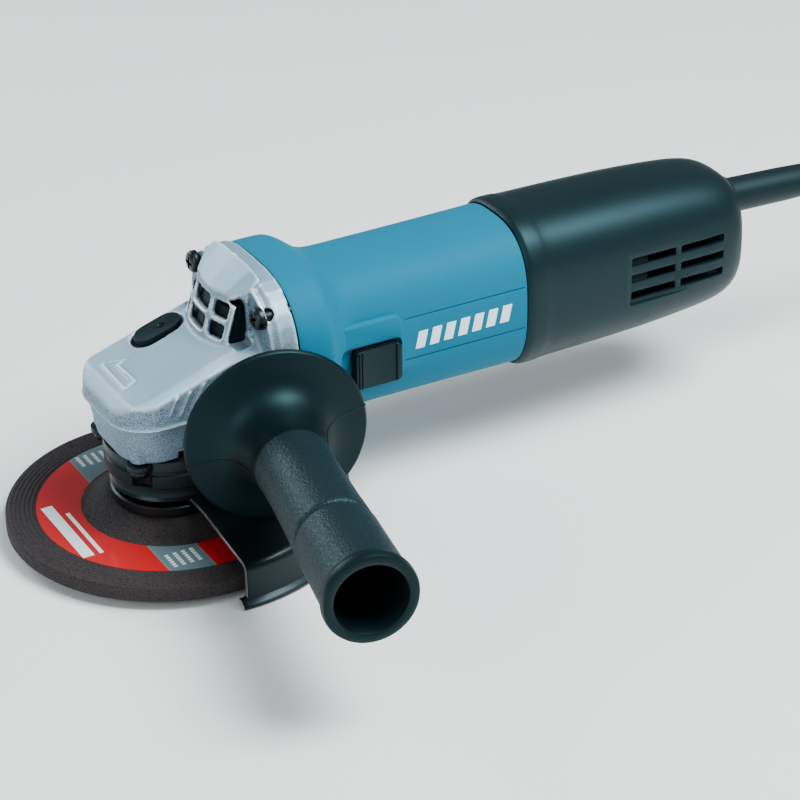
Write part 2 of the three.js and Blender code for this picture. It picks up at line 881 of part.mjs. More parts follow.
function motorHousing() {
  const spigot = ovalLoft([
    [bodyBack - 5, bodyHalfWidth - 3.2, bodyHalfHeight - 2.8],
    [spigotBack, bodyHalfWidth - 3.2, bodyHalfHeight - 2.8],
  ]);
  const shell = join(ovalLoft(housingStations), spigot);
  const bore = turnedAlongX([
    [0, 30],
    [31.2, 30],
    [31.2, 52.6],
    [27.5, 56],
    [statorRadius + gap, 61],
    [statorRadius + gap, coreBack + 2],
    [23.9, coreBack + 3],
    [23.9, 137.5],
    [0, 137.5],
  ], 28);
  const bearingBore = rodAlongX(11.2, 130, rearBearingFront + 8.6, 20);
  const behind = cut(
    rodAlongX(27.2, rearBearingFront + 0.5, 160, 24),
    rodAlongX(13.6, rearBearingFront - 3, 152),
  ).intersect(
    ovalLoft([
      [rearBearingFront, 21.2, 25.6],
      [160, 21.2, 25.6],
    ]),
  );
  const ports = [45, 135, 225, 315].map((angle) =>
    rod(4.2, 130, 150)
      .translate([18.6, 0, 0])
      .rotate([0, 0, angle])
      .rotate([0, 90, 0])
      .translate([0, 0, motorHeight]),
  );
  const channel = block([56, -24.4, 43.2], [160, -16, 49]);
  const recess = block(
    [switchX - switchHalfLength - switchTravel - 1, -40, switchZ - switchHalfHeight - 0.6],
    [switchX + switchHalfLength + 0.6, -25.6, switchZ + switchHalfHeight + 0.6],
  );
  const slot = block([65, -30, 47.1], [79.5, -22, 49]);
  const sideScrews = [1, -1].flatMap((sy) =>
    [1, -1].map((sz) =>
      rod(2.9, 30, 50.5)
        .rotate([0, 90, 0])
        .translate([0, sy * flangeScrewY, motorHeight + sz * flangeScrewZ]),
    ),
  );
  const coverScrewHole = rod(1.9, 20, 45).translate([spigotBack - 4.4, 0, 0]);
  return cut(
    shell,
    bore,
    bearingBore,
    behind,
    channel,
    recess,
    slot,
    coverScrewHole,
    ...ports,
    ...sideScrews,
  );
}
piece("motor_housing", teal, motorHousing());

const bafflePlate = turnedAlongX([
  [23.5, 51],
  [30.7, 51],
  [30.7, 52.2],
  [28.2, 54.4],
  [26.8, 54.4],
  [23.5, 52.2],
], 24);
piece("fan_baffle", blackPlastic, bafflePlate);

let screwNumber = 0;
for (const sy of [-1, 1]) {
  for (const sz of [1, -1]) {
    screwNumber += 1;
    const name = `housing_screw_${screwNumber}`;
    const one = piece(name, blackSteel, screw(4.5, 3.6, 2.5, 21));
    one.position.set(
      flangeFront - gap,
      sy * flangeScrewY,
      motorHeight + sz * flangeScrewZ,
    );
    one.rotation.y = -quarterTurn;
  }
}

// Rear cover: a black barrel with slots on both sides and the cord's hole in its end.
const coverFront = bodyBack + 0.4;
const coverStations = (inset) => [
  [coverFront, bodyHalfWidth + 1 - inset, bodyHalfHeight + 1 - inset],
  [coverFront + 60, bodyHalfWidth + 0.2 - inset, bodyHalfHeight - inset],
  [coverBack - 30, bodyHalfWidth - 0.8 - inset, bodyHalfHeight - 1.2 - inset],
  [coverBack - 14, bodyHalfWidth - 1.6 - inset, bodyHalfHeight - 2.4 - inset],
  [coverBack - 5, bodyHalfWidth - 4.6 - inset, bodyHalfHeight - 5.6 - inset],
  [coverBack, bodyHalfWidth - 10 - inset, bodyHalfHeight - 11 - inset],
];
const cordZ = 71;
const cordTilt = THREE.MathUtils.degToRad(2.5);
const ventRows = 3;
const ventColumns = 2;
const ventFront = 189;
const ventLength = 20.5;
const ventPitch = 23;
const ventLowest = 51.1;
const ventRise = 7.25;

function rearCover() {
  const outer = ovalLoft(coverStations(0));
  const wall = 2.6;
  const inner = ovalLoft([
    [coverFront - 5, bodyHalfWidth - 2.9, bodyHalfHeight - 2.5],
    [coverFront + 60, bodyHalfWidth - 2.9, bodyHalfHeight - 2.9],
    [coverBack - 30, bodyHalfWidth - 3.8, bodyHalfHeight - 4],
    [coverBack - 14, bodyHalfWidth - 5, bodyHalfHeight - 6],
    [coverBack - wall - 1, bodyHalfWidth - 9, bodyHalfHeight - 10],
  ]);
  const slots = [];
  for (const side of [-1, 1]) {
    for (let row = 0; row < ventRows; row++) {
      for (let column = 0; column < ventColumns; column++) {
        const x = ventFront + column * ventPitch;
        const z = ventLowest + row * ventRise;
        const low = [x, side * 25 - 6, z];
        slots.push(block(low, [x + ventLength, side * 25 + 6, z + 3.5]));
      }
    }
  }
  const cordHole = rodAlongX(7.5, coverBack - 12, coverBack + 5, 20, cordZ);
  const screwX = spigotBack - 4.4;
  const screwHole = rod(2.1, 20, 40).translate([screwX, 0, 0]);
  const sink = rod(3.9, 20, motorHeight - bodyHalfHeight + 1).translate([screwX, 0, 0]);
  return cut(outer, inner, cordHole, screwHole, sink, ...slots);
}
piece("rear_cover", blackPlastic, rearCover());

const coverScrew = piece("rear_cover_screw", steel, screw(3.4, 2, 1.7, 5));
coverScrew.position.set(spigotBack - 4.4, 0, motorHeight - bodyHalfHeight + 1 - gap);
coverScrew.rotation.x = Math.PI;

// Switch: a thumb slide on the left side, its rod and the switch it works.
const switchParts = new THREE.Group();
grinder.add(switchParts);
function switchKnob() {
  const outline = roundedBox(switchHalfLength, switchHalfHeight, 2);
  const plate = prism(outline, 0, 3.6)
    .rotate([90, 0, 0])
    .translate([switchX, -25.9, switchZ]);
  const stem = block([72, -27, 47.3], [78.5, -20.6, 48.8]);
  return join(plate, stem);
}
piece("switch_knob", blackPlastic, switchKnob(), switchParts);
const switchRod = cut(
  block([71, -21.6, rodLow], [171, -19.8, 48.8]),
  block([71.7, -30, 47], [78.8, -10, 50]),
);
piece("switch_rod", steel, switchRod, switchParts);
const switchBody = join(
  block([172, -20, 44], [200, 9, 66]),
  block([176, -14, 66], [194, 3, 69]),
);
piece("switch_block", blackPlastic, switchBody);

// Cord guard: a rubber sleeve that leaves the rear cover, a little above the motor axis.
const guardEnd = 313;
function cordGuard() {
  const length = guardEnd - coverBack;
  return turned([
    [cordDiameter / 2 + 0.1, -15],
    [10, -15],
    [10, -5],
    [7.1, -5],
    [7.1, 0.4],
    [8.4, 0.4],
    [8.4, 2.6],
    [7.2, 3],
    [6.9, 29],
    [5.4, length],
    [cordDiameter / 2 + 0.1, length],
  ], 20)
    .rotate([0, 90 + THREE.MathUtils.radToDeg(cordTilt), 0])
    .translate([coverBack, 0, cordZ]);
}
piece("cord_guard", rubber, cordGuard());

// Side handle: a steel stud in the housing's left boss, and a grip with its own flange.
const handleParts = new THREE.Group();
handleParts.position.copy(handleRim);
handleParts.quaternion.copy(handleTurn);
grinder.add(handleParts);
const flangeRadius = 34.5;
const gripEndRadius = 17.15;
const gripBoreRadius = 12.8;
function handleGrip() {
  const outside = [
    [4.5, -8],
    [11.5, -8],
    [12.5, -1],
    [24, 0.5],
    [33.6, -1.2],
    [flangeRadius, -0.4],
    [flangeRadius, 1],
    [33.4, 2],
    [25, 4.6],
    [19, 9],
    [15.6, 14.5],
    [14, 22],
    [14, 40],
    [14.6, 60],
    [15.3, 74.2],
    [14.7, 75.2],
    [14.7, 76.4],
    [15.5, 77.4],
    [16.3, 100],
    [gripEndRadius - 0.2, handleLength - 2],
    [gripEndRadius - 1.2, handleLength],
    [gripBoreRadius + 0.8, handleLength],
    [gripBoreRadius, handleLength - 1.2],
    [gripBoreRadius - 1, 70],
    [4.5, 66],
  ];
  return turned(outside, 24);
}
piece("side_handle_grip", gripPlastic, handleGrip(), handleParts);
piece("side_handle_stud", steel, turned([
  [0, -21.5],
  [3.4, -21.5],
  [4, -20.6],
  [4, 64],
  [0, 64],
], 14), handleParts);

// Supply cord: out of its sleeve, down to the floor, along it into a round coil, and on to the plug.
const cordRadius = cordDiameter / 2;
const lyingZ = floorHeight + cordRadius;
const coilX = 455;
const coilY = -7 * cordDiameter;
const coilOuter = coilTurnRadius + 1.5 * cordDiameter;
const coilInner = coilTurnRadius - 1.5 * cordDiameter;
const tubeEnd = coilX - 30.5;
const descent = [
  [313.3, 68.4],
  [323.3, 68],
  [333.3, 67.5],
  [340.4, 66.5],
  [347.5, 63.9],
  [353.9, 59.9],
  [359.3, 54.7],
  [363.5, 48.5],
  [366.5, 40.9],
  [370.4, 26.1],
  [373.4, 18.5],
  [377.6, 12.3],
  [383.1, 7],
  [389.4, 3],
  [396.5, 0.5],
  [405.2, lyingZ],
  [415, lyingZ],
  [tubeEnd, lyingZ],
];

function cordTube(route, steps) {
  const section = new THREE.Shape();
  section.absarc(0, 0, cordRadius, 0, 2 * Math.PI);
  const extrudePath = new THREE.CatmullRomCurve3(route);
  const settings = { steps, curveSegments: 5, extrudePath };
  return solid(new THREE.ExtrudeGeometry(section, settings));
}

const cordRoute = descent.map(([x, z]) => new THREE.Vector3(x, 0, z));
piece("supply_cord", rubber, cordTube(cordRoute, 24));
const coilHeight = 3 * cordDiameter;
piece(
  "cord_coil",
  rubber,
  ring(coilOuter, coilInner, floorHeight, floorHeight + coilHeight, 24),
).position.set(coilX, coilY, 0);

const plugBack = coilX - 61;
const tailY = coilY - coilTurnRadius - cordDiameter;
const tailRoute = [coilX - 31, coilX - 46, plugBack + gap].map(
  (x) => new THREE.Vector3(x, tailY, lyingZ),
);
piece("cord_tail", rubber, cordTube(tailRoute, 4));

// A two-pin plug lying on its flat side, its pins towards -X.
const plugHalfHeight = 9;
const plugParts = new THREE.Group();
plugParts.position.set(plugBack, tailY, floorHeight + plugHalfHeight);
grinder.add(plugParts);
const plugTail = lyingZ - floorHeight - plugHalfHeight;
function plugBody() {
  const section = (x, halfWidth, halfHeight, rise = 0) =>
    ovalRing(x, halfWidth, halfHeight, 4, 20).map((p) =>
      p.setZ(p.z - motorHeight + rise),
    );
  return loft([
    section(-40, 17, plugHalfHeight),
    section(-20, 17, plugHalfHeight),
    section(-12, 10, 7.5, -1),
    section(0, 5, cordRadius, plugTail),
  ]);
}
piece("plug_body", rubber, plugBody(), plugParts);
for (const [name, side] of [["left", -1], ["right", 1]]) {
  const pin = piece(`plug_pin_${name}`, steel, rod(2.4, 0, 19, 12), plugParts);
  pin.position.set(-40 - gap, side * 9.5, 0);
  pin.rotation.y = -quarterTurn;
}

export default grinder;
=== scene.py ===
import math

import bmesh
import bpy
from mathutils import Matrix, Vector


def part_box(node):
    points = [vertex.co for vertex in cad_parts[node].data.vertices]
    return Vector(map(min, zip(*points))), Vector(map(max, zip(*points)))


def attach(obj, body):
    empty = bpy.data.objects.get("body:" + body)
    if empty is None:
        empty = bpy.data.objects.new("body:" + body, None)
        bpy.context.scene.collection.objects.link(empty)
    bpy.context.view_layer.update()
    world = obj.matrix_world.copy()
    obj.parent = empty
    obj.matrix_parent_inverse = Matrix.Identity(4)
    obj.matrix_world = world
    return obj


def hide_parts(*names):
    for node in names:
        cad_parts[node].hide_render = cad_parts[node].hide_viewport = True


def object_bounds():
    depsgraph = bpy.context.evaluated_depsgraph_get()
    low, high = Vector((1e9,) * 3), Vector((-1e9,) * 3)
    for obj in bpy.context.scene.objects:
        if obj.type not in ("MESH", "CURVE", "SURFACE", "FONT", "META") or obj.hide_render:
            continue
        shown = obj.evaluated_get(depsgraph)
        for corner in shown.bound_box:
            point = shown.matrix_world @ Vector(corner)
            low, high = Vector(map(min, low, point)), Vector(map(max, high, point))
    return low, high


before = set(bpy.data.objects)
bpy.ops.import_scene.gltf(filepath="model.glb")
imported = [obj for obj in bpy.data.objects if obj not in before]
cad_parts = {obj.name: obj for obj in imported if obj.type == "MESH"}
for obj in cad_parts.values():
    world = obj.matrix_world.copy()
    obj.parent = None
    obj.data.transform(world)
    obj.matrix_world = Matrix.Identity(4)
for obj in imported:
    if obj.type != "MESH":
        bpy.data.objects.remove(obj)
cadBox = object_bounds()
mm = 0.001

# Places from the frame, in metres. The dictionaries of the pieces are in millimetres.
floorZ = cadBox[0][2]
motorZ = sum(c.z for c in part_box("armature_shaft")) / 2
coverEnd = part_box("rear_cover")[1].x
switchPlace = sum(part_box("switch_knob"), Vector()) / 2
print("frame loaded:", len(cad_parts), "nodes")


def clearSelection():
    if bpy.context.mode != "OBJECT":
        bpy.ops.object.mode_set(mode="OBJECT")
    bpy.ops.object.select_all(action="DESELECT")


def named(name):
    piece = bpy.context.object
    piece.name = name
    piece.data.name = name
    return piece


def only(piece):
    clearSelection()
    piece.select_set(True)
    bpy.context.view_layer.objects.active = piece


def settle(piece):  # the place goes into the mesh, and the object back to the origin
    only(piece)
    bpy.ops.object.transform_apply(location=True, rotation=True, scale=True)


def editing(piece, action="DESELECT"):
    only(piece)
    bpy.ops.object.mode_set(mode="EDIT")
    bpy.ops.mesh.select_all(action=action)


def objectMode():
    bpy.ops.object.mode_set(mode="OBJECT")


def modify(piece, kind, **settings):  # adds a modifier and applies it
    only(piece)
    modifier = piece.modifiers.new(kind.title(), kind)
    for key, value in settings.items():
        setattr(modifier, key, value)
    bpy.ops.object.modifier_apply(modifier=modifier.name)


def chain(name, points):  # one vertex, extruded from point to point
    clearSelection()
    bpy.ops.mesh.primitive_plane_add(size=mm, location=points[0])
    piece = named(name)
    settle(piece)
    editing(piece, "SELECT")
    bpy.ops.mesh.merge(type="CENTER")
    for here, there in zip(points, points[1:]):
        step = Vector(there) - Vector(here)
        bpy.ops.mesh.extrude_region_move(TRANSFORM_OT_translate={"value": step})
    objectMode()
    return piece


def spun(name, profile, steps=96, angle=2 * math.pi):  # (radius, height) in mm, round Z
    piece = chain(name, [(r * mm, 0, z * mm) for r, z in profile])
    editing(piece, "SELECT")
    bpy.ops.mesh.spin(steps=steps, angle=angle, center=(0, 0, 0), axis=(0, 0, 1))
    bpy.ops.mesh.select_all(action="SELECT")
    bpy.ops.mesh.remove_doubles(threshold=0.00001)
    bpy.ops.mesh.normals_make_consistent(inside=False)
    objectMode()
    return piece


def placed(piece, matrix):
    piece.matrix_world = matrix
    settle(piece)
    return piece


def brick(name, low, high, round=0.0, segments=3, axis=None):  # corners in mm
    clearSelection()
    low, high = Vector(low) * mm, Vector(high) * mm
    bpy.ops.mesh.primitive_cube_add(size=1, location=(low + high) / 2)
    piece = named(name)
    piece.scale = high - low
    settle(piece)
    if round:
        editing(piece)
        work = bmesh.from_edit_mesh(piece.data)
        for edge in work.edges:
            along = (edge.verts[0].co - edge.verts[1].co).normalized()
            edge.select_set(axis is None or abs(along[axis]) > 0.9)
        bmesh.update_edit_mesh(piece.data)
        bpy.ops.mesh.bevel(offset=round * mm, segments=segments, affect="EDGES")
        objectMode()
    return piece


def carve(piece, *tools, operation="DIFFERENCE"):
    for tool in tools:
        modify(piece, "BOOLEAN", object=tool, operation=operation, solver="EXACT")
        bpy.data.objects.remove(tool)


def soften(piece, width, segments=2, angle=40):
    modify(
        piece, "BEVEL", width=width * mm, segments=segments,
        limit_method="ANGLE", angle_limit=math.radians(angle), harden_normals=False,
    )


def shade(piece, angle=35):
    only(piece)
    bpy.ops.object.shade_smooth_by_angle(angle=math.radians(angle))


def dress(piece, material, body, nodes=(), angle=35):
    piece.data.materials.clear()
    piece.data.materials.append(material)
    if angle:
        shade(piece, angle)
    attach(piece, body)
    if nodes:
        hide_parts(*nodes)
    return piece


def refined(name, *nodes):  # a merged copy of CAD nodes
    clearSelection()
    for node in nodes:
        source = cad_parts[node]
        copy = bpy.data.objects.new(name, source.data.copy())
        bpy.context.scene.collection.objects.link(copy)
        copy.select_set(True)
        bpy.context.view_layer.objects.active = copy
    if len(nodes) > 1:
        bpy.ops.object.join()
    piece = named(name)
    editing(piece, "SELECT")
    bpy.ops.mesh.remove_doubles(threshold=0.000002)
    objectMode()
    return piece


eye = {  # metres and degrees
    "target": (0.08, 0, 0.045), "azimuth": -27.6, "elevation": 28.4, "roll": -1.4,
    "distance": 1.138, "lens": 133.7, "shift": (0.0568, -0.0564),
}


def makeCamera():
    turn, rise, roll = (math.radians(eye[k]) for k in ("azimuth", "elevation", "roll"))
    back = Vector((math.sin(turn) * math.cos(rise), -math.cos(turn) * math.cos(rise),
                   math.sin(rise)))
    right = Vector((math.cos(turn), math.sin(turn), 0))
    up = back.cross(right)
    across = math.cos(roll) * right + math.sin(roll) * up
    upward = math.cos(roll) * up - math.sin(roll) * right
    data = bpy.data.cameras.new("camera")
    data.lens = eye["lens"]
    data.sensor_width = 36
    data.shift_x, data.shift_y = eye["shift"]
    data.clip_end = 50
    camera = bpy.data.objects.new("camera", data)
    bpy.context.scene.collection.objects.link(camera)
    camera.matrix_world = Matrix.Translation(
        Vector(eye["target"]) + eye["distance"] * back
    ) @ Matrix((across, upward, back)).transposed().to_4x4()
    bpy.context.scene.camera = camera


makeCamera()
print("camera made")


class Wire:  # a node's output, for use in expressions
    def __init__(self, socket):
        self.socket = socket
        self.tree = socket.id_data

    def node(self, kind, settings=None, inputs=None, output=0):
        made = self.tree.nodes.new(kind)
        for key, value in (settings or {}).items():
            if key == "stops":
                self.fillRamp(made.color_ramp.elements, value)
            else:
                setattr(made, key, value)
        for key, value in (inputs or {}).items():
            if isinstance(value, Wire):
                self.tree.links.new(value.socket, made.inputs[key])
            else:
                made.inputs[key].default_value = value
        return Wire(made.outputs[output])

    def fillRamp(self, elements, stops):
        while len(elements) < len(stops):
            elements.new(0.5)
        for element, (place, value) in zip(elements, stops):
            element.position = place
            element.color = (value, value, value, 1)

    def maths(self, operation, *others):
        inputs = dict(enumerate((self, *others)))
        return self.node("ShaderNodeMath", {"operation": operation}, inputs)

    def __add__(self, other):
        return self.maths("ADD", other)

    def __sub__(self, other):
        return self.maths("SUBTRACT", other)

    def __rsub__(self, other):
        return self.node("ShaderNodeMath", {"operation": "SUBTRACT"}, {0: other, 1: self})

    def __mul__(self, other):
        return self.maths("MULTIPLY", other)

    __radd__ = __add__
    __rmul__ = __mul__

    def size(self):  # without its sign
        return self.maths("ABSOLUTE")

    def above(self, limit):
        return self.maths("GREATER_THAN", limit)

    def below(self, limit):
        return self.maths("LESS_THAN", limit)

    def band(self, centre, half):  # 1 within half of centre
        return (self - centre).size().below(half)

    def clamp(self):
        return self.node("ShaderNodeClamp", None, {"Value": self})

    def ramp(self, *stops):
        return self.node("ShaderNodeValToRGB", {"stops": stops}, {"Fac": self})

    def mix(self, first, second):  # colours, by this wire's value
        first, second = (c if isinstance(c, Wire) else (*c, 1) for c in (first, second))
        inputs = {0: self, 6: first, 7: second}
        return self.node("ShaderNodeMix", {"data_type": "RGBA"}, inputs, 2)

    def noise(self, scale, detail=3.0, roughness=0.55):
        return self.node("ShaderNodeTexNoise", None, {
            "Vector": self, "Scale": scale, "Detail": detail, "Roughness": roughness})

    def cells(self, scale, feature="F1"):
        return self.node("ShaderNodeTexVoronoi", {"feature": feature},
                         {"Vector": self, "Scale": scale})

    def bump(self, strength, depth):
        inputs = {"Height": self, "Strength": strength, "Distance": depth}
        return self.node("ShaderNodeBump", None, inputs)

    def parts(self):
        split = self.node("ShaderNodeSeparateXYZ", None, {0: self}).socket.node
        return [Wire(output) for output in split.outputs]


def finish(name, metallic=0.0, coat=0.0, coatRoughness=0.1, specular=0.3, tint=(1, 1, 1)):
    material = bpy.data.materials.new(name)
    material.use_nodes = True
    shader = material.node_tree.nodes["Principled BSDF"]
    shader.inputs["Metallic"].default_value = metallic
    shader.inputs["Coat Weight"].default_value = coat
    shader.inputs["Coat Roughness"].default_value = coatRoughness
    shader.inputs["Specular IOR Level"].default_value = specular
    shader.inputs["Specular Tint"].default_value = (*tint, 1)
    coordinates = material.node_tree.nodes.new("ShaderNodeTexCoord").outputs
    return material, shader, Wire(coordinates["Object"]), Wire(coordinates["Normal"])


def drive(shader, **wires):
    names = {"colour": "Base Color", "roughness": "Roughness", "normal": "Normal"}
    for key, wire in wires.items():
        wire.tree.links.new(wire.socket, shader.inputs[names[key]])


def mouldedPlastic(name, deep, light, roughness=0.4, specular=0.3):
    material, shader, place, _ = finish(name, specular=specular, tint=(0.45, 0.9, 1))
    cloud = place.noise(28, 3)
    speck = place.noise(2200, 2)
    scuff = place.noise(120, 5, 0.65).ramp((0.56, 0), (0.72, 1))
    colour = (cloud * 0.8 + speck * 0.2).mix(deep, light)
    drive(shader, colour=colour, roughness=roughness + speck * 0.1 + scuff * 0.08,
          normal=(speck + cloud * 0.4).bump(0.25, 0.0001))
    return material


def leatherGrain(name, deep, light):
    material, shader, place, _ = finish(name, specular=0.38, tint=(0.45, 0.9, 1))
    warped = place.noise(900, 2)
    cells = place.cells(1050, "SMOOTH_F1")
    fold = (cells * 1.4 + warped * 0.35).clamp()
    colour = fold.mix(light, deep)
    drive(shader, colour=colour, roughness=0.36 + fold * 0.22,
          normal=(1 - fold).bump(0.6, 0.0003))
    return material


def glossPaint(name, tone):
    material, shader, place, _ = finish(
        name, coat=0.08, coatRoughness=0.15, specular=0.22, tint=(0.6, 0.9, 1))
    cloud = place.noise(60, 4)
    speck = place.noise(1700, 2)
    colour = cloud.mix(tone, [c * 1.9 + 0.004 for c in tone])
    drive(shader, colour=colour, roughness=0.26 + cloud * 0.12 + speck * 0.05,
          normal=speck.bump(0.12, 0.00008))
    return material


def bareMetal(name, tone, roughness=0.3, streak=(1, 1, 30)):
    material, shader, place, _ = finish(name, metallic=1.0)
    drawn = place.node("ShaderNodeMapping", None, {"Vector": place, "Scale": streak})
    lines = drawn.noise(900, 3)
    cloud = place.noise(70, 3)
    colour = (lines * 0.6 + cloud * 0.4).mix([c * 0.72 for c in tone], tone)
    drive(shader, colour=colour, roughness=roughness + lines * 0.14,
          normal=lines.bump(0.25, 0.00006))
    return material


def bondedGrit():
    material, shader, place, _ = finish("bonded grit", specular=0.35)
    grit = place.cells(1500)
    mesh = place.noise(260, 4, 0.7)
    tone = (grit * 0.8 + mesh * 0.5).clamp()
    colour = tone.mix((0.042, 0.027, 0.028), (0.010, 0.006, 0.007))
    spark = place.cells(2300).ramp((0.0, 1), (0.16, 0))
    drive(shader, colour=(spark * 0.3).mix(colour, (0.20, 0.15, 0.16)),
          roughness=0.66 + grit * 0.25, normal=(1 - grit + mesh * 0.4).bump(0.8, 0.0004))
    return material


def flexRubber(name, tone, roughness=0.55):
    material, shader, place, _ = finish(name, tint=(0.5, 0.9, 1))
    cloud = place.noise(90, 3)
    speck = place.noise(2400, 2)
    colour = (cloud * 0.7 + speck * 0.3).mix(tone, [c * 1.7 + 0.003 for c in tone])
    drive(shader, colour=colour, roughness=roughness + speck * 0.12,
          normal=speck.bump(0.3, 0.0001))
    return material


labelLook = {
    "red": (0.40, 0.0, 0.003), "redLight": (0.47, 0.003, 0.006), "grey": (0.085, 0.13, 0.14),
    "line": (0.10, 0.16, 0.17), "white": (0.66, 0.70, 0.72), "scuffed": (0.2, 0.08, 0.08),
    "strip": (-13.6, 8), "lineHalf": 0.4,  # the middle and half width, in mm, as below
    "bars": [((-43.4, 2.3), (-2, 20)), ((-38.2, 0.8), (-6, 16))],
    "rows": [-18.6, -15.3, -12, -8.7], "rowHalf": 0.75, "columns": [(42.5, 4), (-40, 4.6)],
    "dash": 0.62,
}


def printedLabel():
    material, shader, place, _ = finish("printed label", coat=0.25)
    x, y, _z = [part * 1000 for part in place.parts()]
    middle, half = labelLook["strip"]
    edges = [x.band(middle + side * half, labelLook["lineHalf"]) for side in (-1, 1)]
    bars = [x.band(*across) * y.band(*along) for across, along in labelLook["bars"]]
    rows = sum(x.band(row, labelLook["rowHalf"]) for row in labelLook["rows"])
    columns = sum(y.band(*column) for column in labelLook["columns"])
    dashes = (y * labelLook["dash"]).maths("FRACT").above(0.3)
    weave = place.noise(1400, 2)
    colour = weave.mix(labelLook["red"], labelLook["redLight"])
    colour = x.band(middle, half).mix(colour, labelLook["grey"])
    colour = sum(edges).clamp().mix(colour, labelLook["line"])
    white = (sum(bars) + rows * columns * dashes * 0.85).clamp()
    colour = white.mix(colour, labelLook["white"])
    wear = place.noise(520, 4, 0.7).ramp((0.66, 0), (0.8, 1))
    drive(shader, colour=(wear * 0.25).mix(colour, labelLook["scuffed"]),
          roughness=0.42 + weave * 0.16, normal=weave.bump(0.25, 0.0001))
    return material


tealShell = mouldedPlastic("teal shell", (0.0, 0.118, 0.200), (0.0, 0.138, 0.228), 0.55, 0.14)
blackShell = mouldedPlastic("black shell", (0.0018, 0.0055, 0.0065), (0.003, 0.009, 0.0105))
darkKnob = mouldedPlastic("dark knob", (0.0015, 0.0038, 0.0045), (0.0028, 0.0065, 0.0075), 0.4, 0.25)
gripSkin = leatherGrain("grip skin", (0.0016, 0.005, 0.0062), (0.005, 0.012, 0.014))
flangeSkin = mouldedPlastic("flange skin", (0.001, 0.003, 0.0036), (0.0018, 0.005, 0.006), 0.4, 0.22)
blackPaint = glossPaint("black paint", (0.0015, 0.003, 0.0035))
brightSteel = bareMetal("bright steel", (0.62, 0.63, 0.64))
darkSteel = bareMetal("blackened steel", (0.035, 0.042, 0.045), 0.3)
brassSheet = bareMetal("brass sheet", (0.62, 0.43, 0.16))
copperWire = bareMetal("copper wire", (0.55, 0.22, 0.09), 0.35, (1, 1, 1))
carbonBlock = mouldedPlastic("carbon block", (0.012, 0.012, 0.012), (0.03, 0.03, 0.03), 0.6)
grit = bondedGrit()
sleeveRubber = flexRubber("sleeve rubber", (0.0018, 0.0045, 0.0055), 0.42)
cordRubber = flexRubber("cord rubber", (0.002, 0.0045, 0.0055), 0.48)
label = printedLabel()
whiteInk = mouldedPlastic("white ink", (0.72, 0.80, 0.86), (0.84, 0.9, 0.94), 0.4)
print("finishes mixed")


lead = {
    "diameter": 0.0078, "length": 2.5,  # in metres
    "coil": (455, -54.6), "radius": 54.6, "pitch": 7.8,
    "floor": -0.6, "turns": 7.5, "perTurn": 16,  # points for each turn
    "laps": [(0, 0), (1, 0), (2, 0), (2, 1), (1, 1), (0, 1), (1, 2)],  # diameters in and up
}
leadDown = [  # x and z in millimetres, from the sleeve to the coil, in the plane of the motor
    (313.3, 68.4), (323.3, 68), (333.3, 67.5), (340.4, 66.5), (347.5, 63.9),
    (353.9, 59.9), (359.3, 54.7), (363.5, 48.5), (366.5, 40.9), (370.4, 26.1),
    (373.4, 18.5), (377.6, 12.3), (383.1, 7), (389.4, 3), (396.5, 0.5),
    (405.2, -0.6), (415, -0.6), (424.5, -0.6), (436, -0.6), (446, -0.6),
]
leadAway = [  # x and y, from the coil to the plug, on the floor
    (446, -116.9), (436, -116.2), (426, -114.6), (416, -112.4), (407, -110.6),
    (400, -109.4), (394.3, -109.2),
]


def ease(t):
    t = min(max(t, 0), 1)
    return t * t * (3 - 2 * t)


def coilPlace(turns):  # radius and height in mm after so many turns
    outer, low, pitch, laps = (lead[k] for k in ("radius", "floor", "pitch", "laps"))
    lap, last = int(turns), len(laps) - 1
    if lap < last:  # the change to the next lap comes late in each turn
        late = ease((turns % 1 - 0.8) / 0.2)
        inward, upward = [a + (b - a) * late for a, b in zip(laps[lap], laps[lap + 1])]
        return outer - pitch * inward, low + pitch * upward
    part = (turns - last - 1) / 0.5
    if part < 0:
        return outer - pitch, low + 2 * pitch
    if part < 0.34:  # then out over the top, and down the outside to the floor
        return outer - pitch + pitch * ease(part / 0.34), low + 2 * pitch
    if part < 0.67:
        swing = (1 - ease((part - 0.34) / 0.33)) * math.pi / 2
        return outer + pitch * math.cos(swing), low + pitch + pitch * math.sin(swing)
    return outer + pitch, low + pitch * (1 - ease((part - 0.67) / 0.33))


def cordRoute():
    route = [Vector((x, 0, z)) for x, z in leadDown]
    middle = Vector((*lead["coil"], 0))
    for i in range(int(lead["turns"] * lead["perTurn"]) + 1):
        radius, height = coilPlace(i / lead["perTurn"] * 0.999999)
        angle = math.pi / 2 - 2 * math.pi * i / lead["perTurn"]
        route.append(middle + Vector((radius * math.cos(angle), radius * math.sin(angle), height)))
    route += [Vector((x, y, lead["floor"])) for x, y in leadAway]
    return [p * mm for p in route]


def makeCord():
    route = cordRoute()
    data = bpy.data.curves.new("supply_lead", "CURVE")
    data.dimensions = "3D"
    data.resolution_u = 4
    data.bevel_depth = lead["diameter"] / 2
    data.bevel_resolution = 5
    data.use_fill_caps = True
    line = data.splines.new("BEZIER")
    line.bezier_points.add(len(route) - 1)
    for point, place in zip(line.bezier_points, route):
        point.co = place
        point.handle_left_type = point.handle_right_type = "AUTO"
    cord = bpy.data.objects.new("supply_lead", data)
    bpy.context.scene.collection.objects.link(cord)
    data.materials.append(cordRubber)
    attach(cord, "tool")
    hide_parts("supply_cord", "cord_coil", "cord_tail")


makeCord()
print("cord laid")


